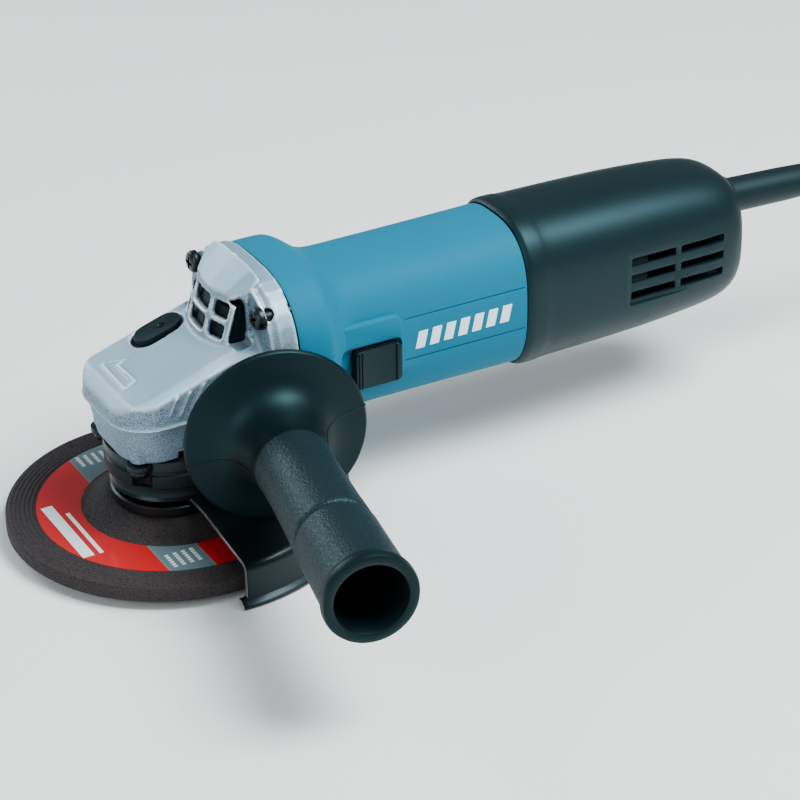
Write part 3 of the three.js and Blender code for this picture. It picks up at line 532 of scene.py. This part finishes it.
def bead(name, points, radius, closed=False):  # a round bead along points, in metres
    piece = chain(name, points)
    if closed:
        editing(piece, "SELECT")
        bpy.ops.mesh.edge_face_add()
        bpy.ops.mesh.delete(type="ONLY_FACE")
        objectMode()
    only(piece)
    bpy.ops.object.convert(target="CURVE")
    piece.data.bevel_depth = radius * mm
    piece.data.bevel_resolution = 3
    piece.data.use_fill_caps = True
    bpy.ops.object.convert(target="MESH")
    editing(piece, "SELECT")
    bpy.ops.mesh.remove_doubles(threshold=0.000005)
    bpy.ops.mesh.normals_make_consistent(inside=False)
    objectMode()
    return named(name)


def squarish(value, power):
    return math.copysign(abs(value) ** (2 / power), value)


def ovalShell(name, stations, sides=48, power=2.7, capped=False):
    first = stations[0]
    clearSelection()
    bpy.ops.mesh.primitive_circle_add(
        vertices=sides, radius=first[1] * mm, location=(first[0] * mm, 0, motorZ),
        rotation=(0, math.pi / 2, 0),
    )
    piece = named(name)
    settle(piece)
    editing(piece, "SELECT")
    work = bmesh.from_edit_mesh(piece.data)
    for vertex in work.verts:
        angle = math.atan2(vertex.co.z - motorZ, vertex.co.y)
        vertex.co.y = first[1] * mm * squarish(math.cos(angle), power)
        vertex.co.z = motorZ + first[2] * mm * squarish(math.sin(angle), power)
    bmesh.update_edit_mesh(piece.data)
    for here, there in zip(stations, stations[1:]):
        step = ((there[0] - here[0]) * mm, 0, 0)
        bpy.ops.mesh.extrude_region_move(TRANSFORM_OT_translate={"value": step})
        bpy.ops.transform.resize(
            value=(1, there[1] / here[1], there[2] / here[2]),
            center_override=(there[0] * mm, 0, motorZ),
        )
    if capped:
        bpy.ops.mesh.edge_face_add()
        bpy.ops.mesh.inset(thickness=2 * mm)
        bpy.ops.mesh.inset(thickness=3 * mm)
    bpy.ops.mesh.select_all(action="SELECT")
    bpy.ops.mesh.normals_make_consistent(inside=False)
    objectMode()
    return piece


def arcPoints(centre, radius, start, end, steps):  # in a plane, angles in degrees
    angles = (math.radians(start + (end - start) * i / steps) for i in range(steps + 1))
    return [(centre[0] + radius * math.cos(a), centre[1] + radius * math.sin(a)) for a in angles]


headTop = {"height": 60.2, "at": -24.5, "slope": 0.317, "lip": 51.2, "front": -27, "half": 25.4,
           "corner": 15, "back": 16}
castSkin = {
    "voxel": 0.61, "broad": 16, "smooth": 1, "lip": 0.8, "line": 0.6,
    "ribFrom": -10.3, "ribPitch": 4.7, "ribs": [(55.9, 62.8), (54.8, 63.9), (54, 65.7)],
    "arrow": [(-18.8, 13.2), (-11.4, 7.8), (-14.9, 7.2), (-14.6, -7.2), (-19.2, -8.4)],
    "brow": {"x": 28.5, "half": 35.4, "rise": 35.9, "from": 40, "to": 140, "steps": 24},
}


def topAt(x, lift=0.0):
    return headTop["height"] + (x - headTop["at"]) * headTop["slope"] + lift


def headEdge(inset, height):  # round the front of the head, from side to side
    front, half, corner = (headTop[k] for k in ("front", "half", "corner"))
    front, half = front + inset, half - inset
    run = [(headTop["back"], half)]
    run += arcPoints((front + corner, half - corner), corner, 90, 180, 12)
    run += arcPoints((front + corner, corner - half), corner, 180, 270, 12)
    run += [(headTop["back"], -half)]
    return [Vector((x, y, height)) * mm for x, y in run]


def flankPoint(casting, x, z):  # where the outside of the flank lies
    _, place, _, _ = casting.ray_cast(Vector((x, -60, z)) * mm, Vector((0, 1, 0)))
    return place


def browLine():  # along the front edge of the flange
    brow = castSkin["brow"]
    points = []
    for i in range(brow["steps"] + 1):
        turn = math.radians(brow["from"] + (brow["to"] - brow["from"]) * i / brow["steps"])
        up = motorZ / mm + brow["rise"] * squarish(math.sin(turn), 3)
        points.append(Vector((brow["x"], brow["half"] * squarish(math.cos(turn), 3), up)) * mm)
    return points


def headBeads(casting):
    arrow = [Vector((x, y, topAt(x, 0.25))) * mm for x, y in castSkin["arrow"]]
    beads = [
        bead("lip", headEdge(0.2, headTop["lip"]), castSkin["lip"]),
        bead("arrow", arrow, castSkin["line"], closed=True),
        bead("brow", browLine(), castSkin["lip"])]
    for i, (low, high) in enumerate(castSkin["ribs"]):
        start = castSkin["ribFrom"] + castSkin["ribPitch"] * i
        heights = [low + (high - low) * j / 8 for j in range(9)]
        points = [flankPoint(casting, start + 0.5 * (z - 54), z) for z in heights]
        beads.append(bead("rib", points, castSkin["line"]))
    return beads


cowl = {
    "wall": 12.8, "at": 70, "lean": 0.344, "bow": 0.0125, "thick": 2, "half": 17, "low": 73.5, "high": 88.4,
    "columns": [(-14.2, -5.8), (-3.5, 9.9), (12.3, 16.3)], "rows": [(74.6, 80.3), (82.1, 87.9)],
    "cut": (8, 23.6), "side": 15, "flank": [(19.2, 73.4), (26.2, 73.4), (26, 91), (24.3, 91)],
}


def cowlFace(y, z):  # x of the leaning front wall
    return cowl["wall"] + (z - cowl["at"]) * cowl["lean"] + y * y * cowl["bow"]


castLook = {
    "bright": (0.35, 0.48, 0.58), "soft": (0.22, 0.33, 0.42), "grainAndShade": (0.018, 0.034, 0.042),
    "wearAndHighlight": (0.90, 0.93, 0.95), "shade": (0.004, 0.009, 0.011),
    "hollow": {"wall": 1.6, "half": 16.2, "low": 71.5, "back": 27.6,
               "roof": 71.7, "rise": 0.816, "bow": 0.0063},
}


def insideCowl(place):  # 1 in the dark space behind the louvres
    hollow = castLook["hollow"]
    x, y, z = [part * 1000 for part in place.parts()]
    roof = hollow["roof"] + x * hollow["rise"] - y * y * hollow["bow"]
    inside = (x - cowlFace(y, z)).above(hollow["wall"]) * y.size().below(hollow["half"])
    return inside * z.above(hollow["low"]) * z.below(roof) * x.below(hollow["back"])


def castAluminium():
    material, shader, place, normal = finish("cast aluminium", metallic=0.6, specular=0.5)
    upness = normal.parts()[2]
    side = (1 - upness.size() * 1.35).clamp()
    grainAndShade = place.noise(2400, 3, 0.7).ramp((0.4, 0), (0.62, 1))
    cloud = place.noise(45, 2)
    fine = place.noise(2600, 3)
    base = cloud.mix(castLook["soft"], castLook["bright"])
    # Dark cast grain, much heavier on steep faces: real grain, with painted shade darkening the flanks.
    colour = (grainAndShade * (side * 0.84 + 0.1)).mix(base, castLook["grainAndShade"])
    colour = (insideCowl(place) * 0.93).mix(colour, castLook["shade"])
    # Bright ridges: wear on the edges, with a painted highlight where they face up.
    ridge = place.node("ShaderNodeNewGeometry", output="Pointiness")
    wearAndHighlight = ridge.ramp((0.506, 0), (0.55, 1)) * (0.6 + cloud * 0.6)
    wearAndHighlight = wearAndHighlight * upness.ramp((0, 0), (0.16, 1))  # painted highlight: only where the surface faces up towards the lamps
    colour = wearAndHighlight.clamp().mix(colour, castLook["wearAndHighlight"])
    relief = grainAndShade * (side * 0.85 + 0.15) + fine * 0.25
    drive(shader, colour=colour, roughness=0.4 + grainAndShade * 0.16 + cloud * 0.08 - wearAndHighlight * 0.1,
          normal=relief.bump(0.5, 0.0002))
    return material


alloy = castAluminium()


def prismAlong(name, points, step):  # a closed outline pushed along a step, in mm
    body = chain(name, [Vector(p) * mm for p in points])
    editing(body, "SELECT")
    bpy.ops.mesh.edge_face_add()
    bpy.ops.mesh.extrude_region_move(TRANSFORM_OT_translate={"value": Vector(step) * mm})
    bpy.ops.mesh.select_all(action="SELECT")
    bpy.ops.mesh.normals_make_consistent(inside=False)
    objectMode()
    return body


def cutLouvres(housing):  # the wall is made whole, then cut where the openings belong
    low, rise = cowl["low"], cowl["high"] - cowl["low"]
    across = [cowl["half"] * (i / 6 - 1) for i in range(13)]
    outer = [(cowlFace(y, low) + 0.05, y, low) for y in across]
    inner = [(cowlFace(y, low) + cowl["thick"], y, low) for y in reversed(across)]
    wall = prismAlong("wall", outer + inner, (rise * cowl["lean"], 0, rise))
    carve(housing, wall, operation="UNION")
    front, back = cowl["cut"]
    for left, right in cowl["columns"]:
        for bottom, top in cowl["rows"]:
            carve(housing, brick("opening", (front, left, bottom), (back, right, top), 1, 3, 0))
    for side in (-1, 1):
        edge = [(x, side * cowl["side"], z) for x, z in cowl["flank"]]
        carve(housing, prismAlong("opening", edge, (0, side * 8, 0)))


def awayFromCowl(p):  # the broad faces, which take more smoothing
    return p.x < 6 or p.z < 56 or (p.x > 12 and abs(p.y) > 24)


def groupWhere(piece, name, test):  # the vertices that pass a test, given in mm
    group = piece.vertex_groups.new(name=name)
    group.add([v.index for v in piece.data.vertices if test(v.co / mm)], 1, "REPLACE")
    return name


def makeHousing():
    housing = refined("gear_casting", "gear_housing")
    cutLouvres(housing)
    beads = headBeads(housing)
    voxel = castSkin["voxel"] * mm
    modify(housing, "REMESH", mode="VOXEL", voxel_size=voxel)
    broad = groupWhere(housing, "broad", awayFromCowl)
    modify(housing, "SMOOTH", factor=0.5, iterations=castSkin["broad"], vertex_group=broad)
    only(housing)
    for piece in beads:
        piece.select_set(True)
    bpy.ops.object.join()
    modify(housing, "REMESH", mode="VOXEL", voxel_size=voxel)
    modify(housing, "SMOOTH", factor=0.5, iterations=castSkin["smooth"])
    dress(housing, alloy, "tool", ["gear_housing"], 0)
    only(housing)
    bpy.ops.object.shade_smooth()
    print("  casting faces:", len(housing.data.polygons))


shadeSheet = {"low": 73.8, "high": 85.4, "gap": 3.7, "half": 15.9, "back": 28.21, "side": 16.1,
          "flank": [(19.8, 73.8), (28.2, 73.8), (28.2, 90), (25, 88.6), (21.4, 85)]}


def makeShadeSheets():  # dark sheets just behind the louvres, as painted shade for the space inside the cowl
    rise, half = shadeSheet["high"] - shadeSheet["low"], shadeSheet["half"]
    outline = [(shadeSheet["back"], -half)]
    for y in [half * (i / 6 - 1) for i in range(13)]:
        outline.append((cowlFace(y, shadeSheet["low"]) + shadeSheet["gap"], y))
    outline.append((shadeSheet["back"], half))
    front = chain("cowl_shade_sheet", [Vector((x, y, shadeSheet["low"])) * mm for x, y in outline])
    editing(front, "SELECT")
    step = Vector((rise * cowl["lean"], 0, rise)) * mm
    bpy.ops.mesh.extrude_region_move(TRANSFORM_OT_translate={"value": step})
    objectMode()
    modify(front, "SOLIDIFY", thickness=0.7 * mm, offset=-1)
    dress(front, darkKnob, "tool")
    # The same painted shade, as dark sheets behind the side openings.
    for side, word in ((-1, "left"), (1, "right")):
        points = [(x, side * shadeSheet["side"], z) for x, z in shadeSheet["flank"]]
        flank = prismAlong(f"cowl_flank_shade_{word}", points, (0, -side * 0.6, 0))
        dress(flank, darkKnob, "tool")


makeHousing()
makeShadeSheets()
print("gear housing cast")


shell = {
    "stations": [
        (39.3, 36.6, 37.1), (40, 37, 37.5), (46, 37, 37.5), (51.5, 37, 37.5), (52.8, 36.7, 37.2),
        (55, 35.2, 36.3), (58.6, 30.6, 33.4), (62, 27.6, 31), (67, 26.6, 30), (72, 26.6, 30),
        (100, 26.6, 30), (134, 26.9, 30.3), (140.3, 27, 30.4), (141, 26.8, 30.2)],
    "wall": 2.8,
    "pad": [(57.2, 86.8), (45.6, 73.6)], "padFace": -27.7,
    "recess": [(58.2, 85.8), (46.6, 64.4)], "recessFloor": -25.3,
    "lines": [(52.6, -25.85), (69.8, -25.7)], "linesFrom": 88, "linesTo": 140,
}


def makeShell():
    body = ovalShell("motor_shell", shell["stations"], 56, 2.75)
    modify(body, "SUBSURF", levels=1, render_levels=1)
    (x0, x1), (z0, z1) = shell["pad"]
    pad = brick("pad", (x0, shell["padFace"], z0), (x1, -20, z1), 5, 6, 1)
    soften(pad, 1.3, 3, 60)
    modify(body, "SOLIDIFY", thickness=shell["wall"] * mm, offset=-1)
    carve(body, pad, operation="UNION")
    (x0, x1), (z0, z1) = shell["recess"]
    carve(body, brick("pocket", (x0, -40, z0), (x1, shell["recessFloor"], z1), 2.6, 4, 1))
    for z, bottom in shell["lines"]:
        carve(body, brick("line", (shell["linesFrom"], -40, z), (shell["linesTo"], bottom, z + 0.4)))
    soften(body, 0.35, 2, 50)
    dress(body, tealShell, "tool", ["motor_housing"], 32)


mark = {"bars": 7, "from": 92, "pitch": 6.1, "width": 3.9, "low": 56.6, "high": 63.6, "lean": 1.6,
        "climb": 0.2, "thick": 0.14}


def makeMark():  # a plain row of leaning bars printed on the panel
    body = bpy.data.objects["motor_shell"]
    for i in range(mark["bars"]):
        climb = mark["climb"] * i
        clearSelection()
        bpy.ops.mesh.primitive_plane_add(
            size=mm, location=(0, -0.03, 0), rotation=(math.pi / 2, 0, 0))
        bar = named(f"panel_bar_{i + 1}")
        settle(bar)
        editing(bar, "SELECT")
        work = bmesh.from_edit_mesh(bar.data)
        for vertex in work.verts:
            up = vertex.co.z > 0
            x = mark["from"] + i * mark["pitch"] + (mark["width"] if vertex.co.x > 0 else 0)
            x += mark["lean"] if up else 0
            vertex.co = Vector((x, -32, climb + (mark["high"] if up else mark["low"]))) * mm
        bmesh.update_edit_mesh(bar.data)
        bpy.ops.mesh.subdivide(number_cuts=7)
        objectMode()
        modify(bar, "SHRINKWRAP", target=body, wrap_method="PROJECT", use_project_y=True,
               use_negative_direction=True, use_positive_direction=True, offset=0.02 * mm)
        modify(bar, "SOLIDIFY", thickness=mark["thick"] * mm, offset=1)
        editing(bar, "SELECT")
        bpy.ops.mesh.normals_make_consistent(inside=False)
        objectMode()
        dress(bar, whiteInk, "tool")


makeShell()
makeMark()
print("motor housing moulded")


cover = {
    "stations": [
        (141.3, 26.9, 30.9), (141.7, 27.3, 31.3), (142.8, 28.1, 32.1), (144, 28.3, 32.3),
        (149.2, 28.3, 32.3), (150.6, 28.1, 32), (151.6, 27.9, 31.8), (170, 27.7, 31.6),
        (201, 27.2, 31), (217, 26.2, 29.8), (226, 25.7, 29.1), (233, 25, 28.2), (239, 23.8, 26.8),
        (243.4, 21.6, 24.4), (246, 18.6, 21.4), (247, 15.6, 18.2)],
    "wall": 2.6,
    "field": {"x": (187.4, 234.2), "z": (49.2, 71.2), "floor": 25.5},
    "vents": {"front": 189, "length": 20.5, "pitch": 23, "lowest": 51.1, "rise": 7.25, "height": 3.5},
    "hole": {"radius": 7.35, "from": 236, "height": 71},
}


def makeCover():
    body = ovalShell("rear_shell", cover["stations"], 56, 2.7, capped=True)
    modify(body, "SUBSURF", levels=1, render_levels=1)
    modify(body, "SOLIDIFY", thickness=cover["wall"] * mm, offset=-1)
    field, vents, hole = cover["field"], cover["vents"], cover["hole"]
    for side in (-1, 1):
        low, high = sorted((side * field["floor"], side * 40))
        (x0, x1), (z0, z1) = field["x"], field["z"]
        carve(body, brick("field", (x0, low, z0), (x1, high, z1), 2, 4, 1))
        low, high = sorted((side * 18, side * 40))
        for column in range(2):
            for row in range(3):
                x = vents["front"] + column * vents["pitch"]
                z = vents["lowest"] + row * vents["rise"]
                x1, z1 = x + vents["length"], z + vents["height"]
                carve(body, brick("slot", (x, low, z), (x1, high, z1), 0.6, 2, 1))
    radius = hole["radius"]
    bore = spun("hole", [(0, 0), (radius, 0), (radius, 20), (0, 20)], 40)
    place = Matrix.Translation(Vector((hole["from"], 0, hole["height"])) * mm)
    carve(body, placed(bore, place @ Matrix.Rotation(math.pi / 2, 4, "Y")))
    soften(body, 0.3, 2, 50)
    dress(body, blackShell, "tool", ["rear_cover"], 32)


makeCover()
print("rear cover moulded")


knob = {"length": 20, "height": 16, "thick": 3.9, "corner": 2.2, "base": -25.7,
        "dish": (-6.4, 7.6), "nick": 0.5}


def makeKnob():
    x, z = switchPlace.x / mm, switchPlace.z / mm
    halfX, halfZ, base = knob["length"] / 2, knob["height"] / 2, knob["base"]
    face = base - knob["thick"]
    low, high = (x - halfX, face, z - halfZ), (x + halfX, base, z + halfZ)
    body = brick("switch_slider", low, high, knob["corner"], 5, 1)
    soften(body, 0.7, 3, 60)
    back, front = (x + reach for reach in knob["dish"])
    carve(body, brick("dish", (back, face - 5, z - 20), (front, face + 0.7, z + 20), 0.6, 3, 2))
    for at in (x - 8.9, x - 7.6):
        nick = (at + knob["nick"], face + knob["nick"], z + 20)
        carve(body, brick("nick", (at, face - 5, z - 20), nick))
    soften(body, 0.18, 2, 40)
    dress(body, darkKnob, "switch_slide", ["switch_knob"])


makeKnob()
print("switch fitted")


sleeve = {"tilt": 2.5, "height": 71, "profile": [
    (4.0, -9), (6.9, -9), (6.9, 0.2), (8.3, 0.5), (8.5, 1.1), (8.5, 2.2), (8.1, 2.8), (7.3, 3.1),
    (7.15, 6), (6.95, 30), (6.4, 48), (5.6, 62), (5.2, 65.2), (4.8, 66), (4.0, 66)]}


def makeSleeve():
    profile = sleeve["profile"] + [sleeve["profile"][0]]
    body = spun("cord_sleeve", profile, 64)
    tilt = math.pi / 2 + math.radians(sleeve["tilt"])
    placed(body, Matrix.Translation((coverEnd, 0, sleeve["height"] * mm)) @ Matrix.Rotation(tilt, 4, "Y"))
    dress(body, sleeveRubber, "tool", ["cord_guard"])


makeSleeve()
print("sleeve fitted")


handle = {
    "yaw": 11, "rim": (22.4, -47, 50), "seam": 0.28,
    "flange": [
        (4.6, -8), (10.6, -8), (11.5, -7.4), (12.2, -2), (13, -0.8), (24, 0.5), (33.2, -1.2),
        (34.1, -0.9), (34.5, -0.1), (34.4, 0.8), (33.8, 1.5), (30, 2), (26, 2.7), (23, 3.7),
        (20.5, 5.2), (18.4, 7.4), (16.9, 10), (15.7, 13.4), (14.8, 17.6), (14.2, 22.6)],
    "grip": [
        (14.45, 23.1), (14.5, 24.4), (14.2, 26), (14.1, 40), (14.5, 60), (15, 72),
        (15.05, 73.9), (14.7, 74.7), (13.9, 75.1), (13.8, 75.9), (14.6, 76.3)],
    "cuff": [
        (15.2, 76.8), (15.4, 78), (15.6, 90), (15.9, 104), (16, 109.4), (16.3, 110.6),
        (16.95, 111.5), (17.15, 112.6), (17.15, 114.4), (16.7, 115.6), (15.6, 116)],
    "bore": [
        (14.2, 116), (13.3, 115.6), (12.9, 114.6), (12.6, 100), (11.9, 72), (11.2, 70.4),
        (4.6, 66), (4.6, -8)],
    "grained": (23.2, 109.4), "grainedFrom": 13.4,
}


def handleMatrix():
    yaw = math.radians(handle["yaw"])
    along = Vector((-math.sin(yaw), -math.cos(yaw), 0))
    turn = Vector((0, 0, 1)).rotation_difference(along)
    return Matrix.Translation(Vector(handle["rim"]) * mm) @ turn.to_matrix().to_4x4()


def makeHandle():
    profile = handle["flange"] + handle["grip"] + handle["cuff"] + handle["bore"]
    body = spun("handle_grip", profile, 96)
    body.data.materials.append(flangeSkin)
    body.data.materials.append(gripSkin)
    low, high = handle["grained"]
    for polygon in body.data.polygons:
        middle = polygon.center / mm
        grained = low < middle.z < high and math.hypot(middle.x, middle.y) > handle["grainedFrom"]
        polygon.material_index = 1 if grained else 0
    placed(body, handleMatrix())
    shade(body, 40)
    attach(body, "tool")
    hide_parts("side_handle_grip")
    for side, word in ((-1, "left"), (1, "right")):  # mould seams along the trumpet
        points = [Vector((side * (r + 0.02), 0, z)) * mm for r, z in handle["flange"][8:]]
        seam = placed(bead(f"handle_seam_{word}", points, handle["seam"]), handleMatrix())
        dress(seam, flangeSkin, "tool")


makeHandle()
print("side handle turned")


disc = {
    "under": [
        (11.3, 4), (23.5, 4), (26, 3.6), (31, -0.4), (33.5, -1), (61.9, -1), (62.5, -0.4),
        (62.5, 4.4), (62.1, 5)],
    "top": 5, "ridges": 6, "ridgeFrom": 51.4, "ridgeTo": 61.6, "ridgeHeight": 0.42,
    "dome": (34.5, 11.5, 5), "label": (33.9, 50.8, 0.16),
}


def makeWheel():
    top, count = disc["top"], disc["ridges"] * 6
    span = disc["ridgeTo"] - disc["ridgeFrom"]
    ridges = []
    for i in range(count, -1, -1):
        lift = disc["ridgeHeight"] * math.sin(math.pi * disc["ridges"] * i / count) ** 2
        ridges.append((disc["ridgeFrom"] + span * i / count, top + lift))
    radius, run, rise = disc["dome"]
    dome = [(radius - run * i / 12, top + rise * ease(i / 12)) for i in range(13)]
    hub = [(11.3, 10), (11.3, 4)]
    body = spun("abrasive_wheel", disc["under"] + ridges + dome + hub, 128)
    dress(body, grit, "spindle_assembly", ["grinding_wheel"])
    inner, outer, thick = disc["label"]
    ring = [(inner, top), (outer, top), (outer, top + thick), (inner, top + thick), (inner, top)]
    dress(spun("wheel_label", ring, 128), label, "spindle_assembly")


def makeInnerFlange():
    profile = [
        (7.3, 8), (11, 8), (11, 10.3), (21.8, 10.3), (22.3, 10.7), (22.3, 13.9), (21.9, 14.35),
        (21.2, 14.6), (7.3, 14.6), (7.3, 8)]
    body = spun("locating_flange", profile, 96)
    dress(body, darkSteel, "spindle_assembly", ["inner_flange"])


makeWheel()
makeInnerFlange()
print("wheel pressed")


box = {
    "profile": [
        (10.2, 15.6), (18.8, 15.6), (19.2, 16), (19.2, 22.7), (20, 23), (23.3, 23.1), (24, 23.8),
        (24, 28.6), (23.4, 29.2), (23.4, 30.2), (24, 30.8), (24, 34.7), (16.3, 34.7), (16.3, 24),
        (10.2, 24), (10.2, 15.6)],
    "ears": (18.6, 16.4), "ear": [(0, 32.6), (4.8, 32.6), (4.8, 34.7), (0, 34.7)],
    "seat": [(0, 20), (4.3, 20), (4.3, 32.6), (0, 32.6)],
}


def makeBearingBox():
    body = spun("bearing_carrier", box["profile"], 96)
    x, y = box["ears"]
    for place in [Vector((sx * x, sy * y, 0)) * mm for sx in (-1, 1) for sy in (-1, 1)]:
        matrix = Matrix.Translation(place)
        carve(body, placed(spun("ear", box["ear"], 32), matrix), operation="UNION")
        carve(body, placed(spun("seat", box["seat"], 32), matrix))
    soften(body, 0.3, 2, 45)
    dress(body, blackPaint, "tool", ["bearing_box"])


guard = {
    "front": -1.5, "lipFront": -4.1, "lipTop": -1.1,
    "outer": [(19.5, 17.4), (32, 17.4), (34, 17.2)],
    "lip": [(68, -0.6), (68.3, -1.4), (70.1, -2.5), (70.6, -3.2), (70.4, -4), (69.5, -4.4)],
    "inner": [(66.7, -3.1), (66.2, -2.4), (66.2, 8.4)],
    "under": [(34, 15.6), (32, 15.8), (19.5, 15.8), (19.5, 17.4)],
    "collar": [
        (19.5, 17.2), (22.4, 17.2), (21.7, 17.9), (21.4, 18.8), (21.4, 22), (21, 22.4),
        (19.8, 22.4), (19.5, 22), (19.5, 17.2)],
    "clampAt": 62,  # degrees round the neck
}


def makeDrum():
    outer = guard["outer"] + arcPoints((64.2, 9.2), 3.8, 82, 0, 6)
    inner = guard["inner"] + arcPoints((64, 9.2), 2.2, 0, 82, 4)
    drum = spun("wheel_guard_drum", outer + guard["lip"] + inner + guard["under"], 160)
    carve(drum, brick("front", (-90, -90, -20), (guard["lipFront"], 90, 40)))
    carve(drum, brick("front", (-90, -90, guard["lipTop"]), (guard["front"], 90, 40), 1.2, 3, 1))
    soften(drum, 0.28, 2, 50)
    dress(drum, blackPaint, "guard", ["wheel_guard"])
    drum.data.materials.append(brightSteel)
    for polygon in drum.data.polygons:  # bare steel where the sheet was cut
        at = polygon.center / mm
        cut = guard["front"] if at.z > guard["lipTop"] + 0.2 else guard["lipFront"]
        if polygon.normal.x < -0.6 and abs(at.x - cut) < 0.35:
            polygon.material_index = 1


def makeCollar():
    collar = spun("guard_collar", guard["collar"], 96)
    turn = Matrix.Rotation(math.radians(guard["clampAt"]), 4, "Z")
    ears = brick("ears", (20, -6.2, 16.6), (31, 6.2, 22.2), 1.6, 3, 1)
    carve(collar, placed(ears, turn), operation="UNION")
    carve(collar, placed(brick("slit", (18.5, -1.2, 17.6), (34, 1.2, 30)), turn))
    soften(collar, 0.25, 2, 50)
    dress(collar, blackPaint, "guard")


makeBearingBox()
makeDrum()
makeCollar()
print("guard pressed")


panHead = {"head": 4.35, "rise": 3.5, "shank": 2.5, "length": 21, "reach": 2.5, "slot": 0.6, "seat": 28.2}


def panScrew(name):
    head, rise, shank = panHead["head"], panHead["rise"], panHead["shank"]
    tip = -panHead["length"]
    profile = [
        (0, tip), (shank - 0.3, tip), (shank, tip + 0.4), (shank, 0), (head - 0.2, 0), (head, 0.2),
        (head, rise * 0.45), (head * 0.93, rise * 0.75), (head * 0.74, rise * 0.95),
        (head * 0.4, rise), (0, rise)]
    body = spun(name, profile, 40)
    reach, slot = panHead["reach"], panHead["slot"]
    carve(body, brick("cross", (-reach, -slot, rise * 0.4), (reach, slot, 9)))
    carve(body, brick("cross", (-slot, -reach, rise * 0.4), (slot, reach, 9)))
    soften(body, 0.12, 2, 40)
    return body


def makeScrews():
    for count in range(1, 5):
        node = f"housing_screw_{count}"
        centre = sum(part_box(node), Vector()) / 2
        turn = Matrix.Rotation(-math.pi / 2, 4, "Y") @ Matrix.Rotation(0.5 * count, 4, "Z")
        seat = Matrix.Translation((panHead["seat"] * mm, centre.y, centre.z))
        body = placed(panScrew(f"flange_screw_{count}"), seat @ turn)
        dress(body, darkSteel, "tool", [node])


makeScrews()
print("screws set")


button = {"place": (5, 15), "run": 4, "radius": 5.1, "proud": 1.1, "depth": 2.6,
          "dimple": [(0, -1.1), (1.1, -0.8), (1.7, 0), (1.5, 4), (0, 4)]}


def makeButton():
    x, y = button["place"]
    run, radius = button["run"], button["radius"]
    outline = arcPoints((x + run, y), radius, -90, 90, 16)
    outline += arcPoints((x - run, y), radius, 90, 270, 16)
    top = topAt(0, button["proud"] - button["depth"])
    body = chain("lock_button", [Vector((px, py, top)) * mm for px, py in outline])
    editing(body, "SELECT")
    bpy.ops.mesh.edge_face_add()
    bpy.ops.mesh.extrude_region_move(TRANSFORM_OT_translate={"value": (0, 0, button["depth"] * mm)})
    bpy.ops.mesh.select_all(action="SELECT")
    bpy.ops.mesh.normals_make_consistent(inside=False)
    work = bmesh.from_edit_mesh(body.data)
    for vertex in work.verts:
        vertex.co.z += vertex.co.x * headTop["slope"]
    bmesh.update_edit_mesh(body.data)
    objectMode()
    place = Vector((x + 1, y - 0.4, topAt(x + 1, button["proud"]))) * mm
    carve(body, placed(spun("dimple", button["dimple"], 32), Matrix.Translation(place)))
    soften(body, 0.6, 3, 50)
    dress(body, darkKnob, "shaft_lock", ["shaft_lock_button"], 30)


makeButton()
print("lock button fitted")


keptLooks = {
    brightSteel: [
        "spindle", "lock_nut", "bevel_gear", "bevel_pinion", "pinion_nut", "armature_shaft",
        "bearing_retainer", "top_needle_bearing", "side_handle_stud", "cooling_fan",
        "spindle_bearing_outer_ring", "spindle_bearing_inner_ring", "front_bearing_outer_ring",
        "front_bearing_inner_ring", "rear_bearing_outer_ring", "rear_bearing_inner_ring",
        "shaft_lock_pin", "switch_rod", "rear_cover_screw",
        "plug_pin_left", "plug_pin_right"],
    darkSteel: ["armature_core", "stator_core", "bearing_box_screw_1", "bearing_box_screw_2",
                "bearing_box_screw_3", "bearing_box_screw_4", "guard_clamp_screw", "guard_clamp_nut"],
    copperWire: ["armature_winding_front", "armature_winding_rear", "commutator",
                 "field_coil_upper", "field_coil_lower"],
    brassSheet: ["brush_holder_left", "brush_holder_right"],
    carbonBlock: ["carbon_brush_left", "carbon_brush_right"],
    darkKnob: ["fan_baffle", "switch_block"],
    cordRubber: ["plug_body"],
}


def dressNodes():
    for material, names in keptLooks.items():
        for name in names:
            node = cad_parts[name]
            for place in node.material_slots:
                place.material = material
            if not node.material_slots:
                node.data.materials.append(material)


dressNodes()
print("inner pieces dressed")


studio = {
    "floor": 8, "sky": 0.34, "skyTone": (0.72, 0.92, 1, 1), "tone": (0.86, 0.97, 1),
    "aim": (0.09, -0.02, 0.04),
    "lights": {  # place, size and power
        "key": ((0.5, -0.5, 1.15), 0.7, 40),
        "fill": ((-1.1, -0.5, 0.6), 0.8, 9),
        "rim": ((-0.35, 1.0, 0.55), 0.45, 7)},
}


def areaLight(name, place, size, power):
    clearSelection()
    bpy.ops.object.light_add(type="AREA", location=place)
    light = bpy.context.object
    light.name = name
    light.data.size = size
    light.data.energy = power
    light.data.color = studio["tone"]
    aim = Vector(studio["aim"]) - Vector(place)
    light.rotation_euler = aim.to_track_quat("-Z", "Y").to_euler()


def makeStudio():
    clearSelection()
    bpy.ops.mesh.primitive_plane_add(size=studio["floor"], location=(0, 0, floorZ - 0.0001))
    floor = named("studio_floor")
    material, shader, place, _ = finish("pale floor")
    drive(shader, colour=place.noise(3, 2).mix((0.87, 0.82, 0.80), (0.90, 0.85, 0.83)),
          roughness=0.6 + place.noise(40, 2) * 0.1)
    floor.data.materials.append(material)
    world = bpy.data.worlds.new("studio")
    world.use_nodes = True
    sky = world.node_tree.nodes["Background"].inputs
    sky["Color"].default_value = studio["skyTone"]
    sky["Strength"].default_value = studio["sky"]
    bpy.context.scene.world = world
    for name, (place, size, power) in studio["lights"].items():
        areaLight(name, place, size, power)


makeStudio()
print("studio lit")

print("finished")
